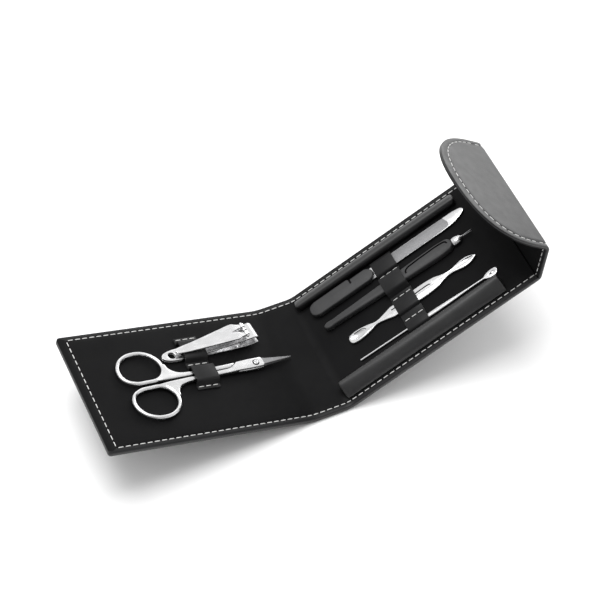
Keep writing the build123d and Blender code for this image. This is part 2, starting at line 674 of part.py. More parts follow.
groove_cut = Pos(groove_middle, 0, TRIMMER_HEIGHT - 0.5) * extrude(groove, 2)
groove_cut -= slab(0, GROOVE_START + 2.5, -5, 5, 0, 10)
groove_cut -= slab(0, TRIMMER_HANDLE, -5, 0.2, 0, 10)
trimmer_handle -= groove_cut
socket = Pos(TRIMMER_HANDLE - 3.0, 0, 1.6) * Rot(0, 90, 0) * Cylinder(0.92, 6.2)
keep("trimmer_handle", trimmer_frame, trimmer_handle - socket)

ferrule = Pos(TRIMMER_HANDLE + SLIVER + 1.4, 0, 1.6) * Rot(0, 90, 0) * Cylinder(1.5, 2.8)
ferrule += Pos(TRIMMER_HANDLE + SLIVER + 2.8 + 1.5, 0, 1.6) * Rot(0, 90, 0) * Cone(1.5, 0.5, 3.0)
ferrule += Pos(TRIMMER_HANDLE - 2.0, 0, 1.6) * Rot(0, 90, 0) * Cylinder(0.9, 4.1)
fork_x = TRIMMER_HANDLE + FERRULE_LENGTH
shaft = slab(fork_x - 1.0, fork_x + 1.6, -0.42, 0.42, 1.35, 1.85)
prongs = slab(fork_x + 1.2, fork_x + FORK_LENGTH, 0.18, 0.62, 1.35, 1.85)
prongs += slab(fork_x + 1.2, fork_x + FORK_LENGTH, -0.62, -0.18, 1.35, 1.85)
keep("trimmer_fork", trimmer_frame, ferrule + shaft + prongs)

# ---------------------------------------------------------------- cuticle pusher
PUSHER_START = (16.0, -5.9)
PUSHER_LENGTH = 72.7
PUSHER_THICKNESS = 1.4
pusher_frame = BACK_LINING * Pos(PUSHER_START[0], PUSHER_START[1], TOOL_GAP)


def pusher_outline():
    """Round spoon, waist, square bar, waist and pointed leaf, the same on both sides."""
    top = Bezier((0, 0), (0, 2.1), (0.9, 2.6), (2.6, 2.6)) + Line((2.6, 2.6), (7.5, 2.6))
    top += Bezier((7.5, 2.6), (11.5, 2.4), (12.5, 0.9), (16.5, 0.9))
    top += Bezier((16.5, 0.9), (20.5, 0.9), (21.5, 2.7), (24.8, 2.87))
    top += Line((24.8, 2.87), (50.0, 2.87))
    top += Bezier((50.0, 2.87), (53.5, 2.6), (54.0, 1.0), (58.0, 1.0))
    top += Bezier((58.0, 1.0), (61.5, 1.0), (62.5, 2.2), (65.5, 2.2))
    top += Bezier((65.5, 2.2), (69.0, 2.2), (71.0, 1.1), (PUSHER_LENGTH, 0.0))
    return make_face(top + mirror(top, about=Plane.XZ))


pusher_body = plate(pusher_outline(), 0, PUSHER_THICKNESS)
pusher_body -= Pos(5.6, 0, PUSHER_THICKNESS + 2.7) * Sphere(3.2)
bar_groove = Pos(45.5, 0.9, PUSHER_THICKNESS - 0.15) * extrude(SlotOverall(14.0, 1.0), 1)
pusher_body -= bar_groove
leaf_hollow = Pos(66.5, 0.3, PUSHER_THICKNESS + 5.4) * Sphere(5.8)
pusher_body -= leaf_hollow & slab(60, 72, -1.5, 1.5, 0, 5)
keep("pusher", pusher_frame, pusher_body)

# ---------------------------------------------------------------- ear pick
PICK_START = (16.0, -17.9)
PICK_TURN = -1.05
PICK_ROD = 0.5
pick_frame = BACK_LINING * Pos(PICK_START[0], PICK_START[1], TOOL_GAP) * Rot(0, 0, PICK_TURN)
PICK_BODY = (37.5, 62.0)
PICK_PADDLE = 71.0
PICK_END = 77.5

rod = Pos(PICK_PADDLE / 2, 0, PICK_ROD) * Rot(0, 90, 0) * Cylinder(PICK_ROD, PICK_PADDLE)
body_face = make_face(
    Spline((PICK_BODY[0], 0.45), (41.0, 1.15), (49.0, 1.25), (57.0, 1.0), (PICK_BODY[1], 0.45))
    + Line((PICK_BODY[1], 0.45), (PICK_BODY[1], -0.45))
    + Spline((PICK_BODY[1], -0.45), (57.0, -1.0), (49.0, -1.25), (41.0, -1.15), (PICK_BODY[0], -0.45))
    + Line((PICK_BODY[0], -0.45), (PICK_BODY[0], 0.45))
)
paddle_face = make_face(
    Line((PICK_PADDLE - 1.2, 0.45), (PICK_PADDLE + 0.8, 1.6))
    + Bezier((PICK_PADDLE + 0.8, 1.6), (PICK_PADDLE + 3.0, 2.0), (PICK_END, 2.0), (PICK_END, 1.2))
    + Bezier((PICK_END, 1.2), (PICK_END + 0.2, 0.2), (PICK_END - 0.6, -1.2), (PICK_END - 1.8, -1.7))
    + Bezier((PICK_END - 1.8, -1.7), (PICK_PADDLE + 3.2, -1.9), (PICK_PADDLE + 1.6, -1.7),
             (PICK_PADDLE + 0.8, -1.5))
    + Line((PICK_PADDLE + 0.8, -1.5), (PICK_PADDLE - 1.2, -0.45))
    + Line((PICK_PADDLE - 1.2, -0.45), (PICK_PADDLE - 1.2, 0.45))
)
pick = rod + plate(body_face, 0.05, 0.95) + plate(paddle_face, 0.1, 0.9)
pick -= Pos(PICK_PADDLE + 3.4, 0, 3.0) * Sphere(2.6)
keep("pick", pick_frame, pick)

# ---------------------------------------------------------------- what was made
for name, volume in sorted(made.items()):
    print(f"{name:26s} {volume:8.1f} mm3")
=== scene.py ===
# %% [markdown]
# # A manicure set case
# A folding leatherette case stands open on its spine. Its two wings lean up, a strip and a round
# flap curl over at one end, and straps hold scissors, a nail clipper, a file, a cuticle trimmer, a
# pusher and an ear pick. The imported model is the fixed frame: it gives the hinges and the solids
# that stay hidden inside the leather.

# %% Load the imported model
import json
import math
import random

import bmesh
import bpy
from mathutils import Matrix, Vector
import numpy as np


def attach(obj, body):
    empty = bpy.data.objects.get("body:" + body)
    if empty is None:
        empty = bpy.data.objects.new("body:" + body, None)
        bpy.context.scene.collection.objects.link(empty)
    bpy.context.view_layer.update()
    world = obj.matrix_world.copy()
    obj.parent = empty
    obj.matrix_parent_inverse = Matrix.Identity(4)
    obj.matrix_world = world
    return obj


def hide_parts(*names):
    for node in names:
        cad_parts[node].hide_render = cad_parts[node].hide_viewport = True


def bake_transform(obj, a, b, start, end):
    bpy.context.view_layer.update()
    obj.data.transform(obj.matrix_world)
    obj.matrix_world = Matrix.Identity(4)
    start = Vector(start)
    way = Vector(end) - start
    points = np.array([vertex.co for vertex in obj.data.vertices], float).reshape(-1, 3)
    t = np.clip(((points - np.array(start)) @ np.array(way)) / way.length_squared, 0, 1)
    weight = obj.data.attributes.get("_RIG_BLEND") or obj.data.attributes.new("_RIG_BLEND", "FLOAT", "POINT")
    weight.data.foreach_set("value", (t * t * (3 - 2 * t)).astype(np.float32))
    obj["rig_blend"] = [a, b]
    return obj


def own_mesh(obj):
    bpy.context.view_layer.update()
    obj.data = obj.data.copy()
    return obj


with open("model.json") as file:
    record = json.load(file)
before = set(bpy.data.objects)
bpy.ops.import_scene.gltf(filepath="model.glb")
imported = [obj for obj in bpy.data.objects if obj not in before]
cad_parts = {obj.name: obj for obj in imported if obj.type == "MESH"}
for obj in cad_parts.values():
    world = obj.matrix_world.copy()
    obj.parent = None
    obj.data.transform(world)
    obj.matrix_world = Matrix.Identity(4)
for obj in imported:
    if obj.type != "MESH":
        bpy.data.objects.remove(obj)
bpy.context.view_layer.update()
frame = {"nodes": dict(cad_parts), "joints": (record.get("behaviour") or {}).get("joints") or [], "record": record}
MM = 0.001
random.seed(12)

# %% [markdown]
# The camera and the light come first, so that every later test shows the same picture. A small
# object is seen through a long lens from far off, which keeps its edges nearly parallel.

# %% Camera
AIM = Vector((13.82, 34.21, 0)) * MM
CAMERA_TURN = math.radians(-23.91)
CAMERA_RISE = math.radians(52.17)
CAMERA_DISTANCE = 1074.65 * MM
CAMERA_LENS = 131.98
SENSOR_WIDTH = 36
towards_camera = Vector((
    math.sin(CAMERA_TURN) * math.cos(CAMERA_RISE),
    -math.cos(CAMERA_TURN) * math.cos(CAMERA_RISE),
    math.sin(CAMERA_RISE),
))
bpy.ops.object.select_all(action="DESELECT")
bpy.ops.object.camera_add(location=AIM + towards_camera * CAMERA_DISTANCE)
camera = bpy.context.object
camera.rotation_euler = (-towards_camera).to_track_quat("-Z", "Y").to_euler()
camera.data.lens = CAMERA_LENS
camera.data.sensor_width = SENSOR_WIDTH
camera.data.clip_start = 0.05
camera.data.clip_end = 20
bpy.context.scene.camera = camera
print("camera", [round(v, 3) for v in camera.location])

# %% [markdown]
# A studio sweep would do as floor, but a wide plain sheet is enough: the view looks down on it.
# One large soft light low behind the case grazes the leather and makes it glow, as a window would,
# and a second one fills from above. The steel mirrors the world, which is brightest behind.

# %% Floor, lights and world
def add_light(name, place, aim, size, power):
    """A square soft light that looks at a point."""
    bpy.ops.object.light_add(type="AREA", location=place)
    light = bpy.context.object
    light.name = name
    light.data.size = size
    light.data.energy = power
    light.rotation_euler = (Vector(aim) - Vector(place)).to_track_quat("-Z", "Y").to_euler()
    return light


bpy.ops.mesh.primitive_plane_add(size=40, location=(0, 0, -0.0002))
floor = bpy.context.object
floor.name = "floor"
paper = bpy.data.materials.new("white_paper")
paper.use_nodes = True
paper.node_tree.nodes["Principled BSDF"].inputs["Base Color"].default_value = (0.93, 0.93, 0.93, 1)
paper.node_tree.nodes["Principled BSDF"].inputs["Roughness"].default_value = 0.9
floor.data.materials.append(paper)
add_light("low_window", (1.25, 0.84, 0.22), (0.09, 0, 0.08), 0.7, 5.5)
add_light("top_fill", (-0.1, 0.25, 1.4), (0, 0, 0.02), 0.9, 16)
WORLD_DARK = 0.18
WORLD_BRIGHT = 2.3
WORLD_STEPS = ((0.5, 0.85), (0.72, 0.95), (0.88, 1.9))
world = bpy.data.worlds.new("studio")
bpy.context.scene.world = world
world.use_nodes = True
sky = world.node_tree
backdrop = sky.nodes["Background"]
backdrop.inputs["Color"].default_value = (1, 1, 1, 1)
look = sky.nodes.new("ShaderNodeTexCoord")
facing = sky.nodes.new("ShaderNodeVectorMath")
facing.operation = "DOT_PRODUCT"
facing.inputs[1].default_value = Vector((0.35, 0.93, 0.10)).normalized()
glow = sky.nodes.new("ShaderNodeFloatCurve")
glow.mapping.curves[0].points[0].location = (0, WORLD_DARK)
glow.mapping.curves[0].points[1].location = (1, WORLD_BRIGHT)
for turn, strength in WORLD_STEPS:
    glow.mapping.curves[0].points.new(turn, strength)
glow.mapping.update()
from_back = sky.nodes.new("ShaderNodeMapRange")
from_back.inputs["From Min"].default_value = -1.0
sky.links.new(look.outputs["Generated"], facing.inputs[0])
sky.links.new(facing.outputs["Value"], from_back.inputs["Value"])
sky.links.new(from_back.outputs["Result"], glow.inputs["Value"])
sky.links.new(glow.outputs["Value"], backdrop.inputs["Strength"])
bpy.context.scene.view_settings.view_transform = "Standard"

# %% [markdown]
# Most pieces are shaped in edit mode. A few helpers keep that short: `edit` opens a piece with
# nothing selected, `pick` selects the vertices, edges or faces that a test accepts, which is what
# a click or a box selection does by hand, and `cut` slices the open piece by a plane.

# %% Helpers for shaping in edit mode
def take(piece):
    """Select one piece alone and make it the active one."""
    bpy.ops.object.select_all(action="DESELECT")
    bpy.context.view_layer.objects.active = piece
    piece.select_set(True)


def edit(piece):
    """Open a piece in edit mode with nothing selected."""
    take(piece)
    bpy.ops.object.mode_set(mode="EDIT")
    bpy.ops.mesh.select_all(action="DESELECT")


def done():
    """Close edit mode."""
    bpy.ops.object.mode_set(mode="OBJECT")


def pick(piece, test, kind="VERT", add=False):
    """Select the vertices, edges or faces of an open piece whose middle passes the test."""
    bpy.ops.mesh.select_mode(type=kind)
    if not add:
        bpy.ops.mesh.select_all(action="DESELECT")
    mesh = bmesh.from_edit_mesh(piece.data)
    if kind == "VERT":
        chosen = [v for v in mesh.verts if test(v.co)]
    elif kind == "EDGE":
        chosen = [e for e in mesh.edges if test((e.verts[0].co + e.verts[1].co) / 2)]
    else:
        chosen = [f for f in mesh.faces if test(f.calc_center_median())]
    for item in chosen:
        item.select_set(True)
    mesh.select_flush_mode()
    bmesh.update_edit_mesh(piece.data)
    return len(chosen)


def settle(piece):
    """Put the object's origin at the world's, with its place in its mesh."""
    take(piece)
    bpy.ops.object.transform_apply(location=True, rotation=True, scale=True)


def modifier(piece, kind, **settings):
    """Add a modifier with its settings and apply it."""
    take(piece)
    step = piece.modifiers.new(kind.lower(), kind)
    for key, value in settings.items():
        setattr(step, key, value)
    bpy.ops.object.modifier_apply(modifier=step.name)


def cut(place, way, drop=None, fill=False):
    """Bisect the open piece by a plane; drop "beyond" or "before" clears that side of it."""
    bpy.ops.mesh.select_all(action="SELECT")
    bpy.ops.mesh.bisect(
        plane_co=place, plane_no=way, use_fill=fill, threshold=1e-7,
        clear_outer=drop == "beyond", clear_inner=drop == "before",
    )


def smooth(piece, degrees=35):
    """Shade a piece smooth except at its sharp edges."""
    take(piece)
    bpy.ops.object.shade_smooth_by_angle(angle=math.radians(degrees))


def outwards(piece):
    """Merge doubled vertices and turn every face outwards."""
    edit(piece)
    bpy.ops.mesh.select_all(action="SELECT")
    bpy.ops.mesh.remove_doubles(threshold=1e-7)
    bpy.ops.mesh.normals_make_consistent(inside=False)
    done()


def report(piece):
    """Print a piece's size and its number of faces."""
    size = [round(v / MM, 1) for v in piece.dimensions]
    print(f"{piece.name:24s} mm {size} faces {len(piece.data.polygons)}")


# %% [markdown]
# The leather is cut and sewn flat and only then folded, as in the workshop. So the whole case is
# drawn flat along X, with the spine in the middle, and each fold is a short run of narrow rows
# that turn a little each. A fold of outer radius R through an angle A takes up R times A of
# leather, in place of the two straight lengths that would meet at the hinge line.

# %% The folds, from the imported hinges
HALF_WIDTH = 35.0 * MM
PANEL = 3.0 * MM
THIN_PANEL = 2.2 * MM
FOLD_RADIUS = {"front_fold": 25 * MM, "back_fold": 14 * MM, "strip_fold": 3.6 * MM, "flap_fold": 3.6 * MM}
FOLD_ROWS = {"front_fold": 7, "back_fold": 8, "strip_fold": 9, "flap_fold": 9}
PANEL_LENGTH = {"front": 105.5 * MM, "back": 108 * MM, "strip": 22 * MM, "flap": 41 * MM}
joints = {joint["name"]: joint for joint in frame["joints"]}
HALF_SPINE = joints["back_fold"]["pos_m"][0]


def tilt(fold):
    """How far a fold is turned at rest, in radians."""
    return math.radians(joints[fold]["range_deg"][1])


def half_tangent(fold):
    """How far from its hinge line a fold starts to bend."""
    return FOLD_RADIUS[fold] * math.tan(tilt(fold) / 2)


fold_start = {}
panel_zero = {}
flat = HALF_SPINE - half_tangent("back_fold")
for fold, panel_name in (("back_fold", "back"), ("strip_fold", "strip"), ("flap_fold", "flap")):
    fold_start[fold] = flat
    flat += FOLD_RADIUS[fold] * tilt(fold)
    panel_zero[panel_name] = flat - half_tangent(fold)
    length = PANEL_LENGTH[panel_name]
    following = {"back": "strip_fold", "strip": "flap_fold"}.get(panel_name)
    flat = panel_zero[panel_name] + length - (half_tangent(following) if following else 0)
flap_end = flat
fold_start["front_fold"] = -(HALF_SPINE - half_tangent("front_fold"))
front_arc_end = fold_start["front_fold"] - FOLD_RADIUS["front_fold"] * tilt("front_fold")
panel_zero["front"] = front_arc_end + half_tangent("front_fold")
front_end = panel_zero["front"] - PANEL_LENGTH["front"]
SIDE = {"front_fold": -1, "back_fold": 1, "strip_fold": 1, "flap_fold": 1}
print("flat length in mm", round((flap_end - front_end) / MM, 1))


# %% [markdown]
# A fold is made from its far rows to its near ones. Each row turns all that lies beyond it, about
# the outer face, so the leather outside keeps its length and the lining inside is squeezed. Once
# the end has curled back over the rest, a vertex's place no longer says how far along the leather
# it is, so that distance is stored on the mesh first.

# %% Helpers for folding
def remember_length(piece):
    """Store how far along the flat case each vertex lies."""
    along = piece.data.attributes.new("along", "FLOAT", "POINT")
    along.data.foreach_set("value", [v.co.x for v in piece.data.vertices])


def fold_rows(fold):
    """The places of a fold's rows, the far one first."""
    side = SIDE[fold]
    step = FOLD_RADIUS[fold] * tilt(fold) / FOLD_ROWS[fold]
    return [fold_start[fold] + side * (row + 0.5) * step for row in reversed(range(FOLD_ROWS[fold]))]


def fold_up(piece, folds):
    """Turn what lies beyond each row of the folds, from the far fold to the near one."""
    remember_length(piece)
    edit(piece)
    bpy.ops.mesh.select_mode(type="VERT")
    for fold in folds:
        side = SIDE[fold]
        for row in fold_rows(fold):
            mesh = bmesh.from_edit_mesh(piece.data)
            along = mesh.verts.layers.float["along"]
            for vertex in mesh.verts:
                vertex.select_set((vertex[along] - row) * side > 0)
            mesh.select_flush_mode()
            bmesh.update_edit_mesh(piece.data)
            bpy.ops.transform.rotate(
                value=side * tilt(fold) / FOLD_ROWS[fold], orient_axis="Y", center_override=(row, 0, 0)
            )
    done()


WAY_HOME = {
    "front": ["front_fold"], "back": ["back_fold"], "strip": ["strip_fold", "back_fold"],
    "flap": ["flap_fold", "strip_fold", "back_fold"],
}

# %% [markdown]
# Every finish is built from a few nodes, at the real scale of the thing: object coordinates are in
# metres, so a noise of scale 1000 has millimetre features. One helper makes them all. A broad noise
# mixes two tones, a middle one varies the roughness like handling does, and a stack of finer
# patterns gives the bump: pebbles for leatherette, fibres for thread, grit for the file.

# %% Helper for finishes
def make_finish(
    name, tones, roughness, grain, metallic=0.0, specular=0.5, broad=45, stretch=(1, 1, 1), **sockets
):
    """A procedural finish. grain lists (pattern, scale, height in mm) from coarse to fine."""
    material = bpy.data.materials.new(name)
    material.use_nodes = True
    tree = material.node_tree
    shader = tree.nodes["Principled BSDF"]
    shader.inputs["Metallic"].default_value = metallic
    shader.inputs["Specular IOR Level"].default_value = specular
    for socket, value in sockets.items():
        shader.inputs[socket.replace("_", " ")].default_value = value
    place = tree.nodes.new("ShaderNodeTexCoord")
    mapping = tree.nodes.new("ShaderNodeMapping")
    mapping.inputs["Scale"].default_value = stretch
    tree.links.new(place.outputs["Object"], mapping.inputs["Vector"])
    blotches = tree.nodes.new("ShaderNodeTexNoise")
    blotches.inputs["Scale"].default_value = broad
    blotches.inputs["Detail"].default_value = 4
    tree.links.new(place.outputs["Object"], blotches.inputs["Vector"])
    ramp = tree.nodes.new("ShaderNodeValToRGB")
    for stop, tone, position in zip(ramp.color_ramp.elements, tones, (0.32, 0.68)):
        stop.color = (*tone, 1)
        stop.position = position
    tree.links.new(blotches.outputs["Fac"], ramp.inputs["Fac"])
    tree.links.new(ramp.outputs["Color"], shader.inputs["Base Color"])
    wear = tree.nodes.new("ShaderNodeTexNoise")
    wear.inputs["Scale"].default_value = broad * 5
    wear.inputs["Detail"].default_value = 6
    tree.links.new(mapping.outputs["Vector"], wear.inputs["Vector"])
    spread = tree.nodes.new("ShaderNodeMapRange")
    spread.inputs["From Min"].default_value = 0.35
    spread.inputs["From Max"].default_value = 0.65
    spread.inputs["To Min"].default_value = roughness[0]
    spread.inputs["To Max"].default_value = roughness[1]
    tree.links.new(wear.outputs["Fac"], spread.inputs["Value"])
    tree.links.new(spread.outputs["Result"], shader.inputs["Roughness"])
    last = None
    for pattern, scale, height in grain:
        texture = tree.nodes.new("ShaderNodeTexVoronoi" if pattern == "pebbles" else "ShaderNodeTexNoise")
        texture.inputs["Scale"].default_value = scale
        if pattern == "pebbles":
            texture.feature = "SMOOTH_F1"
            texture.inputs["Smoothness"].default_value = 0.35
        else:
            texture.inputs["Detail"].default_value = 5
        tree.links.new(mapping.outputs["Vector"], texture.inputs["Vector"])
        bump = tree.nodes.new("ShaderNodeBump")
        bump.invert = pattern == "pebbles"
        bump.inputs["Strength"].default_value = 0.8
        bump.inputs["Distance"].default_value = height * MM
        tree.links.new(texture.outputs["Distance" if pattern == "pebbles" else "Fac"], bump.inputs["Height"])
        if last:
            tree.links.new(last.outputs["Normal"], bump.inputs["Normal"])
        last = bump
    tree.links.new(last.outputs["Normal"], shader.inputs["Normal"])
    return material


def wear_finish(piece, material):
    """Give a piece its finish."""
    piece.data.materials.clear()
    piece.data.materials.append(material)


# %% [markdown]
# The outside is a pebbled leatherette with a satin coating, the lining a smoother sheet of the same
# stuff, shinier where it is pressed at the sewn border, and the straps a soft strip that is a
# little lighter. The bolsters shine most. The thread is a pale twisted polyester. Nothing here is
# pure black, because even black leather keeps a grey bloom.

# %% Finishes of the soft parts
leatherette = make_finish(
    "black_leatherette", ((0.004, 0.004, 0.0045), (0.007, 0.007, 0.0075)), (0.36, 0.42),
    [("pebbles", 1500, 0.022), ("noise", 4200, 0.008)], specular=0.45,
)
lining_leather = make_finish(
    "smooth_lining", ((0.004, 0.004, 0.0043), (0.006, 0.006, 0.0063)), (0.45, 0.56),
    [("pebbles", 1900, 0.012), ("noise", 5200, 0.006)], specular=0.06,
)
pressed_edge = make_finish(
    "pressed_edge", ((0.005, 0.005, 0.0055), (0.008, 0.008, 0.0085)), (0.40, 0.48),
    [("pebbles", 1500, 0.022), ("noise", 4200, 0.008)], specular=0.2,
)
bolster_leather = make_finish(
    "bolster_leather", ((0.005, 0.005, 0.0055), (0.008, 0.008, 0.0085)), (0.36, 0.44),
    [("pebbles", 1500, 0.022), ("noise", 4200, 0.008)], specular=0.7,
)
strap_leather = make_finish(
    "strap_leather", ((0.009, 0.009, 0.0095), (0.013, 0.013, 0.0135)), (0.40, 0.52),
    [("pebbles", 2300, 0.012), ("noise", 6000, 0.006)], specular=0.16, Sheen_Weight=0.02,
)
thread_finish = make_finish(
    "pale_thread", ((0.50, 0.50, 0.49), (0.68, 0.68, 0.67)), (0.6, 0.8),
    [("noise", 3500, 0.05), ("noise", 12000, 0.02)], stretch=(1.0, 2.2, 1.0), broad=400, Sheen_Weight=0.3,
)
board_finish = make_finish(
    "grey_board", ((0.34, 0.31, 0.26), (0.46, 0.42, 0.36)), (0.8, 0.95),
    [("noise", 1400, 0.04), ("noise", 6000, 0.02)], stretch=(1, 3, 1), specular=0.2,
)
foam_finish = make_finish(
    "open_foam", ((0.42, 0.42, 0.40), (0.56, 0.56, 0.53)), (0.85, 1.0),
    [("pebbles", 1800, 0.12), ("noise", 5000, 0.03)], specular=0.2,
)

# %% [markdown]
# The tools are chromed steel, so bright that they read almost white. Their look comes from what
# they mirror, with a little softness where fingers have been. The file's blade is coated with
# grit. The handles are moulded plastic with a fine spark-eroded texture.

# %% Finishes of the tools
polished_steel = make_finish(
    "polished_steel", ((0.68, 0.68, 0.685), (0.75, 0.75, 0.755)), (0.20, 0.30),
    [("noise", 200, 0.0015), ("noise", 2600, 0.0006)], metallic=1.0, stretch=(0.4, 1, 1), broad=90,
)
ground_steel = make_finish(
    "gritty_steel", ((0.21, 0.21, 0.215), (0.29, 0.29, 0.295)), (0.50, 0.62),
    [("pebbles", 4200, 0.04), ("noise", 9000, 0.02)], metallic=0.85, broad=2600,
)
magnet_finish = make_finish(
    "ferrite", ((0.05, 0.05, 0.055), (0.09, 0.09, 0.095)), (0.5, 0.7),
    [("noise", 2500, 0.03)], metallic=0.4, broad=150,
)
# A near-black finish for the walls of grooves, slots and nicks, and for a disc under the screw: painted shade
# where light does not reach.
groove_shade = make_finish(
    "unpolished_groove", ((0.008, 0.008, 0.0085), (0.016, 0.016, 0.0165)), (0.6, 0.8),
    [("noise", 3000, 0.02)], specular=0.1, broad=400,
)
handle_plastic = make_finish(
    "matte_plastic", ((0.026, 0.026, 0.027), (0.033, 0.033, 0.034)), (0.44, 0.54),
    [("noise", 5200, 0.012), ("noise", 900, 0.004)], specular=0.4, broad=120,
)

FINISH_OF_SLOT = {
    "leatherette": leatherette, "lining": lining_leather, "strap": strap_leather, "board": board_finish,
    "foam": foam_finish, "thread": thread_finish, "steel": polished_steel, "ground_steel": ground_steel,
    "magnet": magnet_finish, "handle_plastic": handle_plastic,
}
slot_of_node = {row["node"]: row["material_slot"] for row in frame["record"]["subparts"]}
for name, node in frame["nodes"].items():
    node.data.materials.clear()
    node.data.materials.append(FINISH_OF_SLOT[slot_of_node[name]])
print("finishes", len(FINISH_OF_SLOT))

# %% [markdown]
# The cover and the lining share one outline: a long band with two small round corners at the
# front end and one broad round end, the flap. A plane trimmed by straight cuts along the tangents
# of the round end comes close to that outline, because it is convex everywhere.

# %% The flat outline
FLAP_STRAIGHT = 8 * MM
FLAP_REACH = 33 * MM
FLAP_FULLNESS = 0.62
FLAP_BULGE = 0.72
ROUND_CUTS = 16


def flap_curve(share):
    """Point and outward direction of the upper half of the flap's round end."""
    zero = panel_zero["flap"] + FLAP_STRAIGHT
    corners = [
        Vector((zero, HALF_WIDTH)),
        Vector((zero + FLAP_FULLNESS * FLAP_REACH, HALF_WIDTH)),
        Vector((zero + FLAP_REACH, HALF_WIDTH * FLAP_BULGE)),
        Vector((zero + FLAP_REACH, 0)),
    ]
    rest = 1 - share
    point = (rest ** 3 * corners[0] + 3 * rest ** 2 * share * corners[1]
             + 3 * rest * share ** 2 * corners[2] + share ** 3 * corners[3])
    way = (rest ** 2 * (corners[1] - corners[0]) + 2 * rest * share * (corners[2] - corners[1])
           + share ** 2 * (corners[3] - corners[2])).normalized()
    return point, Vector((-way.y, way.x))


def outline_plane(name, z):
    """The case's flat outline as one face."""
    bpy.ops.mesh.primitive_plane_add(size=1, location=((front_end + flap_end) / 2, 0, z))
    piece = bpy.context.object
    piece.name = name
    piece.scale = (flap_end - front_end, 2 * HALF_WIDTH, 1)
    settle(piece)
    edit(piece)
    for number in range(1, ROUND_CUTS + 1):
        point, way = flap_curve(number / (ROUND_CUTS + 0.5))
        for side in (1, -1):
            cut((point.x, side * point.y, z), (way.x, side * way.y, 0), drop="beyond")
    done()
    return piece


# %% [markdown]
# On the real case the two leathers are pressed round a board and sewn together beyond its edge, so
# the face stands a little proud over the board and the seam lies in a shallow groove. Inset and
# move, four times over, draw exactly that: rim, slope into the groove, slope out, and board edge.

# %% Seam profile
RIM_DROP = 0.25 * MM
SEAM_PROFILE = ((2.0, 0.05), (0.4, -0.2), (0.4, 0.2), (1.7, 0.2))   # inset and rise, in mm
FRONT_SEAM_SHIFT = 1.9 * MM
FLAP_SEAM_SQUEEZE = 0.93
SEAM_INSET = 2.4 * MM
SEAM_Y = HALF_WIDTH - SEAM_INSET


def is_middle(z_test):
    """A test for the one large face inside the rims."""
    return lambda p: front_end + 12 * MM < p.x < flap_end - 12 * MM and abs(p.y) < 5 * MM and z_test(p.z)


def mean_height(piece):
    """The mean height of a piece's vertices."""
    heights = [v.co.z for v in piece.data.vertices]
    return sum(heights) / len(heights)


def press_seam(piece, up, profile):
    """Inset one side of an open flat sheet into rim, seam groove and board edge."""
    middle = is_middle(lambda z: z * up > mean_height(piece) * up)
    for number, (width, rise) in enumerate(profile):
        pick(piece, middle, "FACE")
        bpy.ops.mesh.inset(thickness=width * MM, use_even_offset=True)
        bpy.ops.transform.translate(value=(0, 0, up * rise * MM))
        if number == 0:
            mesh = bmesh.from_edit_mesh(piece.data)
            inner = {v for f in mesh.faces if f.select for v in f.verts}
            for face in mesh.faces:
                face.select_set(False)
            bpy.ops.mesh.select_mode(type="VERT")
            for vertex in inner:
                vertex.select_set(vertex.co.x < front_end + 5 * MM)
            bpy.ops.transform.translate(value=(FRONT_SEAM_SHIFT, 0, 0))
            start = panel_zero["flap"] + FLAP_STRAIGHT
            for vertex in inner:
                vertex.select_set(vertex.co.x > start)
            bpy.ops.transform.resize(value=(FLAP_SEAM_SQUEEZE, 1, 1), center_override=(start, 0, 0))


def sheet_solid(name, z_low, z_high, sides):
    """A flat sheet of leather with its seam pressed into the sides given."""
    low = z_low + (RIM_DROP if -1 in sides else 0)
    high = z_high - (RIM_DROP if 1 in sides else 0)
    piece = outline_plane(name, low)
    edit(piece)
    bpy.ops.mesh.select_all(action="SELECT")
    bpy.ops.mesh.extrude_region_move(TRANSFORM_OT_translate={"value": (0, 0, high - low)})
    done()
    outwards(piece)
    edit(piece)
    for side in sides:
        press_seam(piece, side, SEAM_PROFILE)
    done()
    return piece


cover_flat = sheet_solid("cover_flat", 0, PANEL - 0.82 * MM, (-1,))
lining_flat = sheet_solid("lining_flat", PANEL - 0.8 * MM, PANEL, (1,))
report(cover_flat)
report(lining_flat)

# %% [markdown]
# The two front corners are cut round with scissors on the real thing: the upright edges there are
# bevelled. The thin edges all round are then softened, since leather never has a knife edge.

# %% Round the front corners and soften the edges
CORNER_RADIUS = 1.6 * MM
EDGE_SOFTNESS = 0.22 * MM


def round_front_corners(piece):
    """Bevel the two upright edges at the front end."""
    edit(piece)
    heights = [v.co.z for v in piece.data.vertices]
    low, high = min(heights) + 0.1 * MM, max(heights) - 0.1 * MM
    pick(piece, lambda p: p.x < front_end + 0.1 * MM and abs(p.y) > HALF_WIDTH - 0.1 * MM
         and low < p.z < high, "EDGE")
    bpy.ops.mesh.bevel(offset=CORNER_RADIUS, segments=5, affect="EDGES")
    done()


for sheet in (cover_flat, lining_flat):
    round_front_corners(sheet)
    modifier(
        sheet, "BEVEL", width=EDGE_SOFTNESS, segments=2, limit_method="ANGLE", angle_limit=math.radians(60),
    )
    outwards(sheet)
    report(sheet)

# %% [markdown]
# Rows of cuts give the folds something to bend at, and a loose grid keeps the faces over the
# panels small. The boards lie in pockets between the leathers, so each pocket's limits are cut
# too, and its faces are pushed down to one layer of leather.

# %% Cut the rows, and sink the pockets for the boards
LEATHER = 0.8 * MM
CREASE_RIM = 1.3 * MM
GRID = 6 * MM
BOARD_EDGE = 4.5 * MM


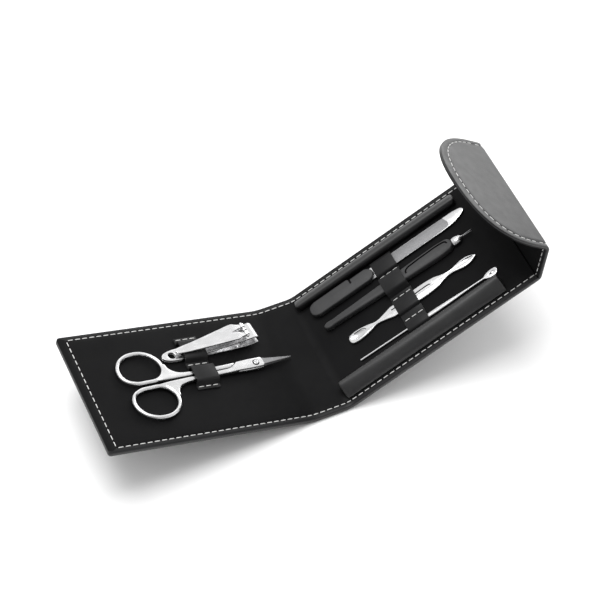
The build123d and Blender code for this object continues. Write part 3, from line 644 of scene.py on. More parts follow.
def all_rows():
    """Every place along the case where the leather is cut across."""
    rows = []
    for fold in fold_start:
        side = SIDE[fold]
        rows += fold_rows(fold)
        rows += [fold_start[fold], fold_start[fold] + side * FOLD_RADIUS[fold] * tilt(fold)]
    spans = [
        (front_end + 7 * MM, min(fold_rows("front_fold"))),
        (fold_start["front_fold"], fold_start["back_fold"]),
        (max(fold_rows("back_fold")), fold_start["strip_fold"]),
        (max(fold_rows("strip_fold")), fold_start["flap_fold"]),
        (max(fold_rows("flap_fold")), flap_end - 7 * MM),
    ]
    for low, high in spans:
        count = max(1, round((high - low) / GRID))
        rows += [low + (high - low) * number / count for number in range(1, count)]
    return rows


def cut_rows(piece, across):
    """Cut a flat sheet across at its rows, and along at even distances if asked."""
    edit(piece)
    for row in all_rows():
        cut((row, 0, 0), (1, 0, 0))
    for number in range(-5, 6) if across else ():
        cut((0, number * GRID * 0.92, 0), (0, 1, 0))
    done()


POCKETS = {
    "front": (front_end + BOARD_EDGE, panel_zero["front"] - CREASE_RIM),
    "spine": (fold_start["front_fold"] - 2.4 * MM, fold_start["back_fold"] + 1.4 * MM),
    "back": (panel_zero["back"] + CREASE_RIM, panel_zero["strip"] - 3.5 * MM),
    "strip": (panel_zero["strip"] + CREASE_RIM, panel_zero["flap"] - 3.5 * MM),
    "flap": (panel_zero["flap"] + CREASE_RIM, flap_end - BOARD_EDGE),
}
for name, pocket in POCKETS.items():
    print("pocket", name, [round(v / MM, 1) for v in pocket])


def sink_pockets(piece):
    """Push the inner faces of the cover down where the boards lie."""
    edit(piece)
    top = max(v.co.z for v in piece.data.vertices)
    for low, high in POCKETS.values():
        for limit in (low, high):
            cut((limit, 0, 0), (1, 0, 0))
    for limit in (-HALF_WIDTH + BOARD_EDGE, HALF_WIDTH - BOARD_EDGE):
        cut((0, limit, 0), (0, 1, 0))
    for low, high in POCKETS.values():
        pick(piece, lambda p: low < p.x < high and abs(p.y) < HALF_WIDTH - BOARD_EDGE
             and p.z > top - 0.01 * MM and inside_flap(p), "FACE")
        bpy.ops.mesh.extrude_region_move(TRANSFORM_OT_translate={"value": (0, 0, LEATHER - top)})
    done()


def inside_flap(point):
    """Whether a point keeps the board's distance from the flap's round end."""
    for number in range(1, ROUND_CUTS + 1):
        place, way = flap_curve(number / (ROUND_CUTS + 0.5))
        if (point.x - place.x) * way.x + (abs(point.y) - place.y) * way.y > -BOARD_EDGE:
            return False
    return True


cut_rows(cover_flat, across=False)
sink_pockets(cover_flat)
cut_rows(lining_flat, across=True)

# %% [markdown]
# The strip and the flap have thinner boards. Past the fold into the strip everything above the
# outer skin comes down by the difference, and the fold itself hides the step.

# %% Thin the strip and the flap
STEP_PLACE = fold_rows("strip_fold")[FOLD_ROWS["strip_fold"] // 2]
for sheet in (cover_flat, lining_flat):
    edit(sheet)
    pick(sheet, lambda p: p.x > STEP_PLACE and p.z > 1.2 * MM)
    bpy.ops.transform.translate(value=(0, 0, THIN_PANEL - PANEL))
    done()
    outwards(sheet)
    report(sheet)

# %% [markdown]
# A blend bends a piece between two bodies only, so the long band is cut into four: each piece
# holds one fold, and the cuts lie on the panels, where nothing bends. The cuts fall between two
# stitches. They are filled, so that each piece is closed.

# %% Four spans, each with one fold
STITCH_PITCH = 3.6 * MM
STITCH_START = front_end + 4.7 * MM


def between_stitches(place):
    """The nearest gap between two threads."""
    return STITCH_START + round((place - STITCH_START) / STITCH_PITCH) * STITCH_PITCH


MIDDLES = [
    between_stitches(0),
    between_stitches(panel_zero["back"] + PANEL_LENGTH["back"] * 0.96),
    between_stitches(panel_zero["strip"] + PANEL_LENGTH["strip"] / 2),
]
SPANS = {
    "front": (None, MIDDLES[0], "spine", "front_wing", "front_fold"),
    "back": (MIDDLES[0], MIDDLES[1], "spine", "back_wing", "back_fold"),
    "strip": (MIDDLES[1], MIDDLES[2], "back_wing", "flap_strip", "strip_fold"),
    "flap": (MIDDLES[2], None, "flap_strip", "flap", "flap_fold"),
}


def copy_of(piece, name):
    """A second piece with its own mesh."""
    take(piece)
    bpy.ops.object.duplicate(linked=False)
    twin = bpy.context.object
    twin.name = name
    return twin


def placed(point, fold_list):
    """Where a point of the flat case comes to lie once the folds are made."""
    along = point[0]
    spot = Vector(point)
    for fold in fold_list:
        side = SIDE[fold]
        for row in fold_rows(fold):
            if (along - row) * side > 0:
                turn = Matrix.Rotation(-side * tilt(fold) / FOLD_ROWS[fold], 3, "Y")
                spot = turn @ (spot - Vector((row, 0, 0))) + Vector((row, 0, 0))
    return spot


def join_bodies(piece, span):
    """Let a folded piece bend with the two bodies that its fold joins."""
    near, far, fold = SPANS[span][2:]
    side = SIDE[fold]
    arc = FOLD_RADIUS[fold] * tilt(fold)
    level = THIN_PANEL / 2
    start = placed((fold_start[fold], 0, level), WAY_HOME[span])
    end = placed((fold_start[fold] + side * arc, 0, level), WAY_HOME[span])
    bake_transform(piece, near, far, start=start, end=end)


def make_span(sheet, span, name, material, slot_name, *nodes):
    """Cut one span out of a flat sheet, fold it, finish it and join it to its two bodies."""
    piece = copy_of(sheet, name)
    low, high = SPANS[span][:2]
    edit(piece)
    if low is not None:
        cut((low, 0, 0), (1, 0, 0), drop="before", fill=True)
    if high is not None:
        cut((high, 0, 0), (1, 0, 0), drop="beyond", fill=True)
    done()
    fold_up(piece, WAY_HOME[span])
    outwards(piece)
    smooth(piece, 40)
    wear_finish(piece, material)
    if material is lining_leather:
        piece.data.materials.append(pressed_edge)
        for face in piece.data.polygons:
            face.material_index = int(abs(face.center.y) > SEAM_Y)
    join_bodies(piece, span)
    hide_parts(*nodes)
    report(piece)


COVER_NODES = {
    "front": ("front_cover", "front_crease"), "back": ("back_cover", "back_crease", "spine_cover"),
    "strip": ("flap_strip_cover", "flap_strip_crease"), "flap": ("flap_cover", "flap_crease"),
}
LINING_NODES = {
    "front": ("front_lining",), "back": ("back_lining", "spine_lining"),
    "strip": ("flap_strip_lining",), "flap": ("flap_lining",),
}
for span, nodes in COVER_NODES.items():
    make_span(cover_flat, span, f"{span}_cover_leather", leatherette, "leatherette", *nodes)
for span, nodes in LINING_NODES.items():
    make_span(lining_flat, span, f"{span}_lining_leather", lining_leather, "lining", *nodes)
for sheet in (cover_flat, lining_flat):
    bpy.data.objects.remove(sheet)

# %% [markdown]
# One stitch is a short fat thread whose ends dive into the leather. It is an eight-sided cylinder
# with its ends drawn in and down. An Array repeats it along straight seams, and round the flap each
# one is made at its own turn. The threads are laid on the flat case as well and folded with it, so
# they follow every bend.

# %% One stitch
STITCH_LENGTH = 2.5 * MM
THREAD_RADIUS = 0.21 * MM
SEAM_DEPTH = 0.40 * MM


def one_stitch(name, place, upside, heading=0.0):
    """A single thread that lies on the top or the underside of the flat leather."""
    bpy.ops.mesh.primitive_cylinder_add(
        vertices=8, radius=THREAD_RADIUS, depth=STITCH_LENGTH * 0.72, rotation=(0, math.pi / 2, 0)
    )
    piece = bpy.context.object
    piece.name = name
    settle(piece)
    edit(piece)
    for end in (-1, 1):
        pick(piece, lambda p: p.x * end > STITCH_LENGTH * 0.35, "FACE")
        bpy.ops.mesh.extrude_region_move(
            TRANSFORM_OT_translate={"value": (end * STITCH_LENGTH * 0.14, 0, -0.09 * MM)}
        )
        bpy.ops.transform.resize(value=(1, 0.62, 0.62))
    bpy.ops.mesh.select_all(action="SELECT")
    bpy.ops.transform.resize(value=(1, 1.1, 0.85))
    done()
    piece.rotation_euler = (math.pi if upside < 0 else 0, 0, heading)
    piece.location = place
    settle(piece)
    return piece


def stitch_row(name, start, count, way, z, upside, pitch=STITCH_PITCH):
    """A straight row of stitches; way is along X or along Y."""
    heading = 0.0 if way == "x" else math.pi / 2
    piece = one_stitch(name, (start[0], start[1], z), upside, heading)
    offset = (pitch, 0, 0) if way == "x" else (0, pitch, 0)
    modifier(
        piece, "ARRAY", count=count, use_relative_offset=False,
        use_constant_offset=True, constant_offset_displace=offset,
    )
    return piece


def join(name, pieces):
    """Make one object of several."""
    bpy.ops.object.select_all(action="DESELECT")
    for piece in pieces:
        piece.select_set(True)
    bpy.context.view_layer.objects.active = pieces[0]
    bpy.ops.object.join()
    pieces[0].name = name
    return pieces[0]


# %% [markdown]
# The thread sits in its groove, on both sides of the leather. Past the fold into the strip the
# inner side is lower, because the panels are thinner there. Each span gets its own group of
# threads, which bends with the same two bodies as the leather under it.

# %% Stitches along the edges
def thread_height(place, upside):
    """The height of a thread's middle on either side of the flat case."""
    if upside < 0:
        return SEAM_DEPTH - 0.10 * MM
    return (THIN_PANEL if place > STEP_PLACE else PANEL) - SEAM_DEPTH + 0.16 * MM


def edge_rows(span):
    """Rows of stitches along both long edges of a span, on both sides of the leather."""
    low, high = SPANS[span][:2]
    first = STITCH_START if low is None else low
    last = panel_zero["flap"] + FLAP_STRAIGHT if high is None else high
    count = round((last - first) / STITCH_PITCH)
    rows = []
    for upside in (1, -1):
        for side in (1, -1):
            pieces = [first + (number + 0.5) * STITCH_PITCH for number in range(count)]
            groups = {}
            for place in pieces:
                groups.setdefault(thread_height(place, upside), []).append(place)
            for height, places in groups.items():
                rows.append(stitch_row(
                    "row", (places[0], side * SEAM_Y), len(places), "x", height, upside
                ))
    return rows


def front_end_rows():
    """The row across the front end, on both sides of the leather."""
    place = front_end + SEAM_INSET + FRONT_SEAM_SHIFT
    count = int(2 * (SEAM_Y - 0.6 * MM) / STITCH_PITCH)
    pitch = 2 * (SEAM_Y - 0.4 * MM) / count
    start = -pitch * (count - 1) / 2
    return [
        stitch_row("row", (place, start), count, "y", thread_height(place, upside), upside, pitch)
        for upside in (1, -1)
    ]


def flap_seam(share):
    """A point of the seam round the flap, from one straight side to the other, and its heading."""
    upper = share < 0.5
    point, way = flap_curve(2 * share if upper else 2 - 2 * share)
    start = panel_zero["flap"] + FLAP_STRAIGHT
    x = start + (point.x - SEAM_INSET * way.x - start) * (FLAP_SEAM_SQUEEZE if point.x > start else 1)
    y = point.y - SEAM_INSET * way.y
    return Vector((x, y if upper else -y, 0))


def flap_rows():
    """Stitches round the flap's end at even distances, on both sides of the leather."""
    samples = [flap_seam(number / 400) for number in range(401)]
    lengths = [0.0]
    for a, b in zip(samples, samples[1:]):
        lengths.append(lengths[-1] + (b - a).length)
    count = round(lengths[-1] / STITCH_PITCH)
    threads = []
    for number in range(count):
        target = (number + 0.5) * lengths[-1] / count
        index = next(i for i, run in enumerate(lengths) if run >= target)
        way = samples[index] - samples[index - 1]
        heading = math.atan2(way.y, way.x)
        for upside in (1, -1):
            place = samples[index]
            height = thread_height(place.x, upside)
            threads.append(one_stitch("thread", (place.x, place.y, height), upside, heading))
    return threads


for span in SPANS:
    rows = edge_rows(span)
    if span == "front":
        rows += front_end_rows()
    if span == "flap":
        rows += flap_rows()
    threads = join(f"{span}_threads", rows)
    fold_up(threads, WAY_HOME[span])
    smooth(threads, 60)
    wear_finish(threads, thread_finish)
    join_bodies(threads, span)
    report(threads)
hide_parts("front_stitching")
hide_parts("spine_stitching", "back_stitching")
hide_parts("flap_strip_stitching")
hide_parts("flap_stitching")

# %% [markdown]
# What lies on a wing is easiest to shape as though the wing lay flat with its hinge at the origin,
# and then to set on the leaning wing in one move. Heights count from the wing's outer face, so
# whatever rests on the lining starts at one panel's thickness.

# %% Set a piece on its wing
def wing_place(wing):
    """The place of a wing's hinge and its lean, as a matrix."""
    fold = f"{wing}_fold"
    hinge = Matrix.Translation(Vector(joints[fold]["pos_m"]))
    return hinge @ Matrix.Rotation(-SIDE[fold] * tilt(fold), 4, "Y")


TOOL_GAP = 0.1 * MM


def on_lining(wing, x, y, rise=0.0, turn=0.0, pitch=0.0):
    """A place on a wing's lining: along the wing, across it, above it, and turned."""
    spot = Matrix.Translation((x, y, PANEL + rise))
    turned = Matrix.Rotation(math.radians(turn), 4, "Z")
    return wing_place(wing) @ spot @ turned @ Matrix.Rotation(-math.radians(pitch), 4, "Y")


def put(piece, place):
    """Move a finished piece to its place and take the place into its mesh."""
    piece.matrix_world = place
    settle(piece)


def fit(piece, place, degrees, body, node):
    """Put a tool's finished piece in its place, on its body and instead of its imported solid."""
    put(piece, place)
    smooth(piece, degrees)
    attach(piece, body)
    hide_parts(node)
    report(piece)


# %% [markdown]
# The straps are bands of soft leather that climb over each tool and are sewn down between them. A
# narrow strip of a plane is extruded edge by edge along the climb and fall, its bends are rounded,
# and Solidify gives it the thickness of the leather.

# %% Straps
STRAP_WIDTH = 11.6
STRAP_THICKNESS = 0.8
FRONT_STRAP_X = -44.3
BACK_STRAP_X = 48.6
FRONT_STRAP_ROWS = (22.6, 6.8, -6.7)
BACK_STRAP_ROWS = (13.7, -0.9, -14.2)
FLAT = 0.03
OVER_CLIPPER = 3.05
OVER_SCISSORS = 3.4
OVER_BLADE = 1.6
OVER_TRIMMER = 3.8
OVER_PUSHER = 1.8
OVER_PICK = 1.4
front_strap_path = [
    (23.6, FLAT), (20.0, FLAT), (19.3, OVER_CLIPPER), (9.7, OVER_CLIPPER), (8.6, FLAT),
    (4.4, FLAT), (3.3, OVER_SCISSORS), (-4.6, OVER_SCISSORS), (-5.6, FLAT), (-8.2, FLAT),
]
back_strap_path = [
    (24.0, FLAT), (23.4, FLAT), (22.5, OVER_BLADE), (15.2, OVER_BLADE), (14.6, FLAT),
    (12.6, FLAT), (10.9, OVER_TRIMMER), (3.0, OVER_TRIMMER), (1.4, FLAT), (-1.9, FLAT),
    (-2.4, OVER_PUSHER), (-9.4, OVER_PUSHER), (-10.0, FLAT), (-15.5, FLAT),
    (-16.0, OVER_PICK), (-20.1, OVER_PICK), (-20.8, FLAT), (-21.8, FLAT),
]


def strap(name, wing, middle, path, replaced):
    """A band that follows a path of (across, height) points over a wing's tools."""
    first, second = path[:2]
    bpy.ops.mesh.primitive_plane_add(size=1, location=(0, (first[0] + second[0]) / 2 * MM, first[1] * MM))
    piece = bpy.context.object
    piece.name = name
    piece.scale = (STRAP_WIDTH * MM, abs(first[0] - second[0]) * MM, 1)
    settle(piece)
    edit(piece)
    for here, there in zip(path[1:], path[2:]):
        pick(piece, lambda p: abs(p.y - here[0] * MM) < 1e-6, "EDGE")
        step = (0, (there[0] - here[0]) * MM, (there[1] - here[1]) * MM)
        bpy.ops.mesh.extrude_region_move(TRANSFORM_OT_translate={"value": step})
    inner = [y for y, z in path[1:-1]]
    pick(piece, lambda p: any(abs(p.y - y * MM) < 1e-6 for y in inner) and abs(p.x) < 1e-6, "EDGE")
    bpy.ops.mesh.bevel(offset=0.55 * MM, segments=4, affect="EDGES", clamp_overlap=True)
    bpy.ops.mesh.select_all(action="SELECT")
    bpy.ops.mesh.normals_make_consistent(inside=False)
    done()
    if sum(face.normal.z for face in piece.data.polygons) < 0:
        edit(piece)
        bpy.ops.mesh.select_all(action="SELECT")
        bpy.ops.mesh.flip_normals()
        done()
    modifier(piece, "SOLIDIFY", thickness=STRAP_THICKNESS * MM, offset=1.0, use_even_offset=True)
    modifier(piece, "BEVEL", width=0.14 * MM, segments=2, limit_method="ANGLE", angle_limit=math.radians(70))
    outwards(piece)
    smooth(piece, 50)
    put(piece, on_lining(wing, middle * MM, 0))
    wear_finish(piece, strap_leather)
    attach(piece, f"{wing}_wing")
    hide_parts(replaced)
    report(piece)


def strap_seams(name, wing, middle, rows, replaced):
    """Three stitches across the strap at each place where it is sewn down."""
    threads = []
    for row in rows:
        pitch = 0.94 * STRAP_WIDTH / 3 * MM
        height = (FLAT + STRAP_THICKNESS + 0.05) * MM
        threads.append(stitch_row("row", (-pitch, row * MM), 3, "x", height, 1, pitch))
    piece = join(name, threads)
    put(piece, on_lining(wing, middle * MM, 0))
    smooth(piece, 60)
    wear_finish(piece, thread_finish)
    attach(piece, f"{wing}_wing")
    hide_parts(replaced)


strap("front_strap_band", "front", FRONT_STRAP_X, front_strap_path, "front_strap")
strap("back_strap_band", "back", BACK_STRAP_X, back_strap_path, "back_strap")
strap_seams("front_strap_threads", "front", FRONT_STRAP_X, FRONT_STRAP_ROWS, "front_strap_stitching")
strap_seams("back_strap_threads", "back", BACK_STRAP_X, BACK_STRAP_ROWS, "back_strap_stitching")

# %% [markdown]
# A foam bolster runs along each long edge of the back wing. A box is trimmed to the pad's rough
# section, remeshed into small even faces and blown up a little as cloth. How far a point may move
# is capped, and the base stays on the lining, so the pad stays close to that section, which is
# lower and longer than its solid's.

# %% Inflate a pad as cloth
PAD_VOXEL = 0.9 * MM
PAD_SWELL = 0.55 * MM


def inflate(piece, pinned, pressure=4.0, frames=20, cap=PAD_SWELL):
    """Blow a closed mesh up as cloth, hold the pinned points and cap how far the others move."""
    start = [v.co.copy() for v in piece.data.vertices]
    group = piece.vertex_groups.new(name="held")
    group.add([v.index for v in piece.data.vertices if pinned(v.co)], 1.0, "REPLACE")
    cloth = piece.modifiers.new("cloth", "CLOTH")
    settings = cloth.settings
    settings.use_pressure = True
    settings.uniform_pressure_force = pressure
    settings.effector_weights.gravity = 0
    settings.vertex_group_mass = "held"
    settings.quality = 6
    settings.tension_stiffness = 12
    settings.bending_stiffness = 0.4
    scene = bpy.context.scene
    for number in range(1, frames + 1):
        scene.frame_set(number)
    blown = piece.evaluated_get(bpy.context.evaluated_depsgraph_get())
    moved = [v.co.copy() for v in blown.data.vertices]
    piece.modifiers.remove(cloth)
    scene.frame_set(1)
    for vertex, old, new in zip(piece.data.vertices, start, moved):
        step = new - old
        if step.length > cap:
            step *= cap / step.length
        vertex.co = old + step
    piece.vertex_groups.clear()


def bolster(name, side, start, end, section, *replaced):
    """A padded roll beside the seam; section lists (across, height) from its inner base outwards."""
    slack = PAD_SWELL / MM * 0.8
    inner, outer = section[0][0], section[-1][0]
    height = max(z for y, z in section)
    bpy.ops.mesh.primitive_cube_add(size=1, location=(
        (start + end) / 2 * MM, (inner + outer) / 2 * MM, (height - slack) / 2 * MM,
    ))
    piece = bpy.context.object
    piece.name = name
    piece.scale = ((end - start - 2 * slack) * MM, (outer - inner - 1.2 * slack) * MM, (height - slack) * MM)
    settle(piece)
    edit(piece)
    for (y0, z0), (y1, z1) in zip(section[1:], section[2:]):
        way = Vector((0, z0 - z1, y1 - y0)).normalized()
        cut((0, y0 * MM, z0 * MM), way, drop="beyond", fill=True)
    done()
    outwards(piece)
    modifier(piece, "REMESH", mode="VOXEL", voxel_size=PAD_VOXEL, use_smooth_shade=True)
    inflate(piece, lambda p: p.z < 0.35 * MM)
    modifier(piece, "SMOOTH", factor=0.5, iterations=4)
    modifier(piece, "SUBSURF", levels=1, render_levels=1)
    if side < 0:
        piece.scale.y = -1
        settle(piece)
    outwards(piece)
    put(piece, on_lining("back", 0, 0))
    smooth(piece, 180)
    wear_finish(piece, bolster_leather)
    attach(piece, "back_wing")
    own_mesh(piece)
    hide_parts(*replaced)
    report(piece)


upper_section = [(24.3, 0), (24.5, 3.4), (25.4, 5.5), (29.0, 3.7), (31.3, 0.7)]
lower_section = [(22.7, 0), (22.8, 4.0), (24.4, 6.2), (25.3, 6.2), (27.9, 4.1), (32.2, 0.9)]
bolster("upper_bolster", 1, 1.0, 94.6, upper_section, "upper_bolster_cover", "upper_bolster_foam")
bolster("lower_bolster", -1, 0.8, 92.6, lower_section, "lower_bolster_cover", "lower_bolster_foam")

# %% [markdown]
# Each half of the scissors is one forging: an oval finger ring, a slim shank, a lobe round the
# screw and a blade. The ring is drawn round, so it is a closed curve with a round section. Shank,
# lobe and blade are flat work: seen from above they are outlines, so they start as filled curves,
# whose own bevel rounds the edges. A union then welds the parts into one closed skin.

# %% Helpers for drawn wire, flat outlines and welding
def to_mesh(piece):
    """Turn a curve into a mesh, with its place in the mesh."""
    take(piece)
    bpy.ops.object.convert(target="MESH")
    piece = bpy.context.object
    settle(piece)
    outwards(piece)
    return piece


def drawn_curve(name, outlines, fineness):
    """Closed splines through the points (x, y) in mm; a third entry "s" makes a point smooth."""
    curve = bpy.data.curves.new(name, "CURVE")
    curve.resolution_u = fineness
    for outline in outlines:
        spline = curve.splines.new("BEZIER")
        spline.bezier_points.add(len(outline) - 1)
        spline.use_cyclic_u = True
        for point, entry in zip(spline.bezier_points, outline):
            point.co = (entry[0] * MM, entry[1] * MM, 0)
            kind = "AUTO" if len(entry) > 2 else "VECTOR"
            point.handle_left_type = kind
            point.handle_right_type = kind
    piece = bpy.data.objects.new(name, curve)
    bpy.context.scene.collection.objects.link(piece)
    return piece


def flat_solid(name, outlines, z_low, z_high, softness, fineness=12):
    """A closed outline, with its holes, thickened between two heights with rounded edges."""
    piece = drawn_curve(name, outlines, fineness)
    piece.data.dimensions = "2D"
    piece.data.fill_mode = "BOTH"
    piece.data.extrude = ((z_high - z_low) / 2 - softness) * MM
    piece.data.bevel_depth = softness * MM
    piece.data.bevel_resolution = 2
    piece.data.offset = -softness * MM
    piece.location = (0, 0, (z_low + z_high) / 2 * MM)
    return to_mesh(piece)


def ring_solid(name, line, width, height, middle):
    """A closed ring of wire with an oval section."""
    piece = drawn_curve(name, [line], 12)
    piece.data.dimensions = "3D"
    piece.data.bevel_depth = width / 2 * MM
    piece.data.bevel_resolution = 5
    piece.scale.z = height / width
    piece.location = (0, 0, middle * MM)
    return to_mesh(piece)


def weld(piece, *others):
    """Join the closed skins of several parts into one."""
    for other in others:
        modifier(piece, "BOOLEAN", operation="UNION", solver="EXACT", object=other)
        bpy.data.objects.remove(other)


def cut_out(piece, *others):
    """Take the space of other parts out of a piece; the cut faces take the cutter's finish, which on groove
    cutters is the near-black painted shade.
    """
    for other in others:
        modifier(
            piece, "BOOLEAN", operation="DIFFERENCE", solver="EXACT", object=other,
            material_mode="TRANSFER",
        )
        bpy.data.objects.remove(other)


# %% [markdown]
# The two halves are mirror images except for their layer at the screw: the half with the near ring
# lies on top there. The blades thin towards the tip, which a transform with a falloff does in one
# step, and they are ground, not polished.

# %% Scissors
SCISSORS_LAYER = 1.12
SCISSORS_FULL = 2.30
SCISSORS_TIP = 19.4
BLADE_ROOT = 3.9
RING_END = -68.8
scissors_rise = (0.3 - RING_END * math.tan(math.radians(0.7))) * MM
scissors_place = on_lining("front", -16.8 * MM, 0.75 * MM, scissors_rise, 2.7, 0.7)
ring_line = [
    (-67.7, 9.8, "s"), (-66.5, 5.2, "s"), (-62.4, 2.35, "s"), (-56.4, 1.75, "s"), (-50.6, 2.25, "s"),
    (-46.8, 5.6, "s"), (-45.7, 9.9, "s"), (-47.6, 15.1, "s"), (-51.6, 18.3, "s"), (-56.4, 19.3, "s"),
    (-62.3, 18.0, "s"), (-66.3, 14.3, "s"),
]
shank = [
    (-45.1, 9.9, "s"), (-43.6, 6.8, "s"), (-41.3, 4.3, "s"), (-38.0, 3.05, "s"), (-33.5, 2.6),
    (-21.0, 2.4), (-10.3, 2.4), (-13.2, 0.2), (-21.0, 0.3), (-34.0, 0.45), (-46.0, 0.7),
    (-51.6, 1.15), (-51.6, 2.0), (-49.4, 2.9, "s"), (-47.4, 5.1, "s"), (-46.3, 8.0, "s"),
]
lobe_and_blade = [
    (-16.0, 2.2), (-3.0, 2.5), (3.0, 2.5), (3.9, 1.75), (6.0, 1.5), (13.0, 0.85, "s"),
    (SCISSORS_TIP, 0.2), (SCISSORS_TIP, -0.2), (13.0, -0.85, "s"), (6.0, -1.5), (4.0, -1.9),
    (3.2, -2.65), (-3.0, -2.75), (-9.6, -2.5), (-12.8, 0.12), (-16.0, 0.4),
]


def scissors_half(name, side, low, body, replaced):
    """One half, with its ring on the side given and its blade in the layer from the height given."""
    ring = ring_solid("ring", ring_line, 2.0, 2.15, SCISSORS_FULL / 2)
    handle = flat_solid("handle", [shank], 0, SCISSORS_FULL, 0.5)
    blade = flat_solid("blade", [lobe_and_blade], low, low + SCISSORS_LAYER, 0.14, 6)
    middle = SCISSORS_FULL / 2 * MM
    edit(blade)
    for number in range(8):
        cut(((BLADE_ROOT + 2 * number) * MM, 0, 0), (1, 0, 0))
    pick(blade, lambda p: p.x > (SCISSORS_TIP - 0.2) * MM)
    bpy.ops.transform.resize(
        value=(1, 1, 0.4), center_override=(0, 0, middle), use_proportional_edit=True,
        proportional_edit_falloff="LINEAR", proportional_size=(SCISSORS_TIP - BLADE_ROOT) * MM,
    )
    done()
    weld(handle, ring, blade)
    handle.name = name
    piece = handle
    if side < 0:
        piece.scale.y = -1
        settle(piece)
    outwards(piece)
    wear_finish(piece, polished_steel)
    piece.data.materials.append(ground_steel)
    for face in piece.data.polygons:
        face.material_index = int(face.center.x > BLADE_ROOT * MM)
    fit(piece, scissors_place, 40, body, replaced)


scissors_half("far_scissors_half", 1, 0, "scissors", "scissors_upper_half")
scissors_half(
    "near_scissors_half", -1, SCISSORS_FULL - SCISSORS_LAYER, "scissors_swing", "scissors_lower_half",
)

# %% [markdown]
# A slotted screw head stands over the rivet of the imported model. A flat block cuts its slot, whose
# walls are painted dark as shade, and a thin near-black disc under the head is painted shade round it.

# %% Scissors screw
SCREW_RADIUS = 1.25
SCREW_TOP = SCISSORS_FULL + 0.42
bpy.ops.mesh.primitive_cylinder_add(
    vertices=48, radius=SCREW_RADIUS * MM, depth=0.7 * MM, location=(0, 0, (SCREW_TOP - 0.35) * MM),
)
screw = bpy.context.object
screw.name = "scissors_screw"
settle(screw)
modifier(screw, "BEVEL", width=0.16 * MM, segments=3, limit_method="ANGLE")
bpy.ops.mesh.primitive_cube_add(size=1, location=(0, 0, SCREW_TOP * MM), rotation=(0, 0, 0.9))
slot_cutter = bpy.context.object
slot_cutter.scale = (4 * MM, 0.42 * MM, 0.4 * MM)
settle(slot_cutter)
# The slot's walls take the near-black finish as painted shade.
slot_cutter.data.materials.append(groove_shade)
wear_finish(screw, polished_steel)
cut_out(screw, slot_cutter)
# A thin near-black disc just under the head: painted shade round the screw.
bpy.ops.mesh.primitive_cylinder_add(
    vertices=48, radius=1.7 * MM, depth=0.12 * MM, location=(0, 0, (SCISSORS_FULL + 0.03) * MM),
)
painted_shade_disc = bpy.context.object
settle(painted_shade_disc)
painted_shade_disc.data.materials.append(groove_shade)
screw = join("scissors_screw", [screw, painted_shade_disc])
put(screw, scissors_place)
smooth(screw, 35)
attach(screw, "scissors")
report(screw)

# %% [markdown]
# The clipper is pressed from strip steel. Both jaws and the lever start as flat blanks, cut to
# their outline with their holes, and are then bent, one line after another from the mouth back to
# the tail. So each line is still flat and level when its turn comes, as under a bending press.

# %% Helper for bending a blank
def bend_lines(piece, height, lines):
    """Bend a blank up or down along lines across X: pairs of (place in mm, degrees up)."""
    edit(piece)
    for place, degrees in sorted(lines, reverse=True):
        cut((place * MM, 0, 0), (1, 0, 0))
        pick(piece, lambda p: p.x > (place + 0.01) * MM)
        bpy.ops.transform.rotate(
            value=math.radians(degrees), orient_axis="Y", center_override=(place * MM, 0, height * MM),
        )
    done()


def both_sides(upper_points):
    """Close an outline with the mirror image of its upper side, given from tail to mouth."""
    lower = [(entry[0], -entry[1], *entry[2:]) for entry in reversed(upper_points) if entry[1] > 0]
    return upper_points + lower


def round_hole(x, radius):
    """A round hole, as an outline of eight smooth points."""
    turns = [math.radians(45 * number) for number in range(8)]
    return [(x + radius * math.cos(a), radius * math.sin(a), "s") for a in turns]


# %% [markdown]
# Both jaws are cut from one outline with the same two holes, and each is bent along its own lines.

# %% Clipper jaws
STRIP_STEEL = 0.9
JAW_LENGTH = 51.3
PIN_X = 43.7
clipper_place = on_lining("front", -60.8 * MM, 12.4 * MM, TOOL_GAP, 6.1)
jaw_blank = both_sides([
    (0.0, 0.0, "s"), (0.5, 1.2, "s"), (2.4, 2.35, "s"), (5.6, 3.1, "s"), (10.0, 3.4), (44.0, 4.4),
    (JAW_LENGTH, 4.4),
])
jaw_holes = [round_hole(5.2, 1.9), round_hole(PIN_X, 2.0)]


def clipper_jaw(name, body, replaced, low, lines):
    """One jaw, bent along its lines, with its underside at the height given."""
    jaw = flat_solid(name, [jaw_blank] + jaw_holes, low, low + STRIP_STEEL, 0.13, 8)
    bend_lines(jaw, low + STRIP_STEEL / 2, lines)
    outwards(jaw)
    put(jaw, clipper_place)
    smooth(jaw, 40)
    wear_finish(jaw, polished_steel)
    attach(jaw, body)
    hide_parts(replaced)
    report(jaw)


lower_lines = [(37.0, 2.0), (39.0, 1.5), (46.6, 4), (47.8, 6), (49.0, 6)]
upper_lines = [
    (9.6, 2.9), (20.6, 2.3), (22.2, 2.3), (23.8, 2.2), (48.3, -14), (49.1, -20), (49.9, -20),
]
clipper_jaw("lower_jaw_steel", "clipper", "clipper_lower_jaw", 0.3, lower_lines)
clipper_jaw("upper_jaw_steel", "clipper_upper", "clipper_upper_jaw", 1.26, upper_lines)

# %% [markdown]
# The lever widens from a round tail to two shoulders, and forks there into two tines whose ends are
# rolled round the crossbar. The eyes are turned as short cylinders, welded on and then bored.

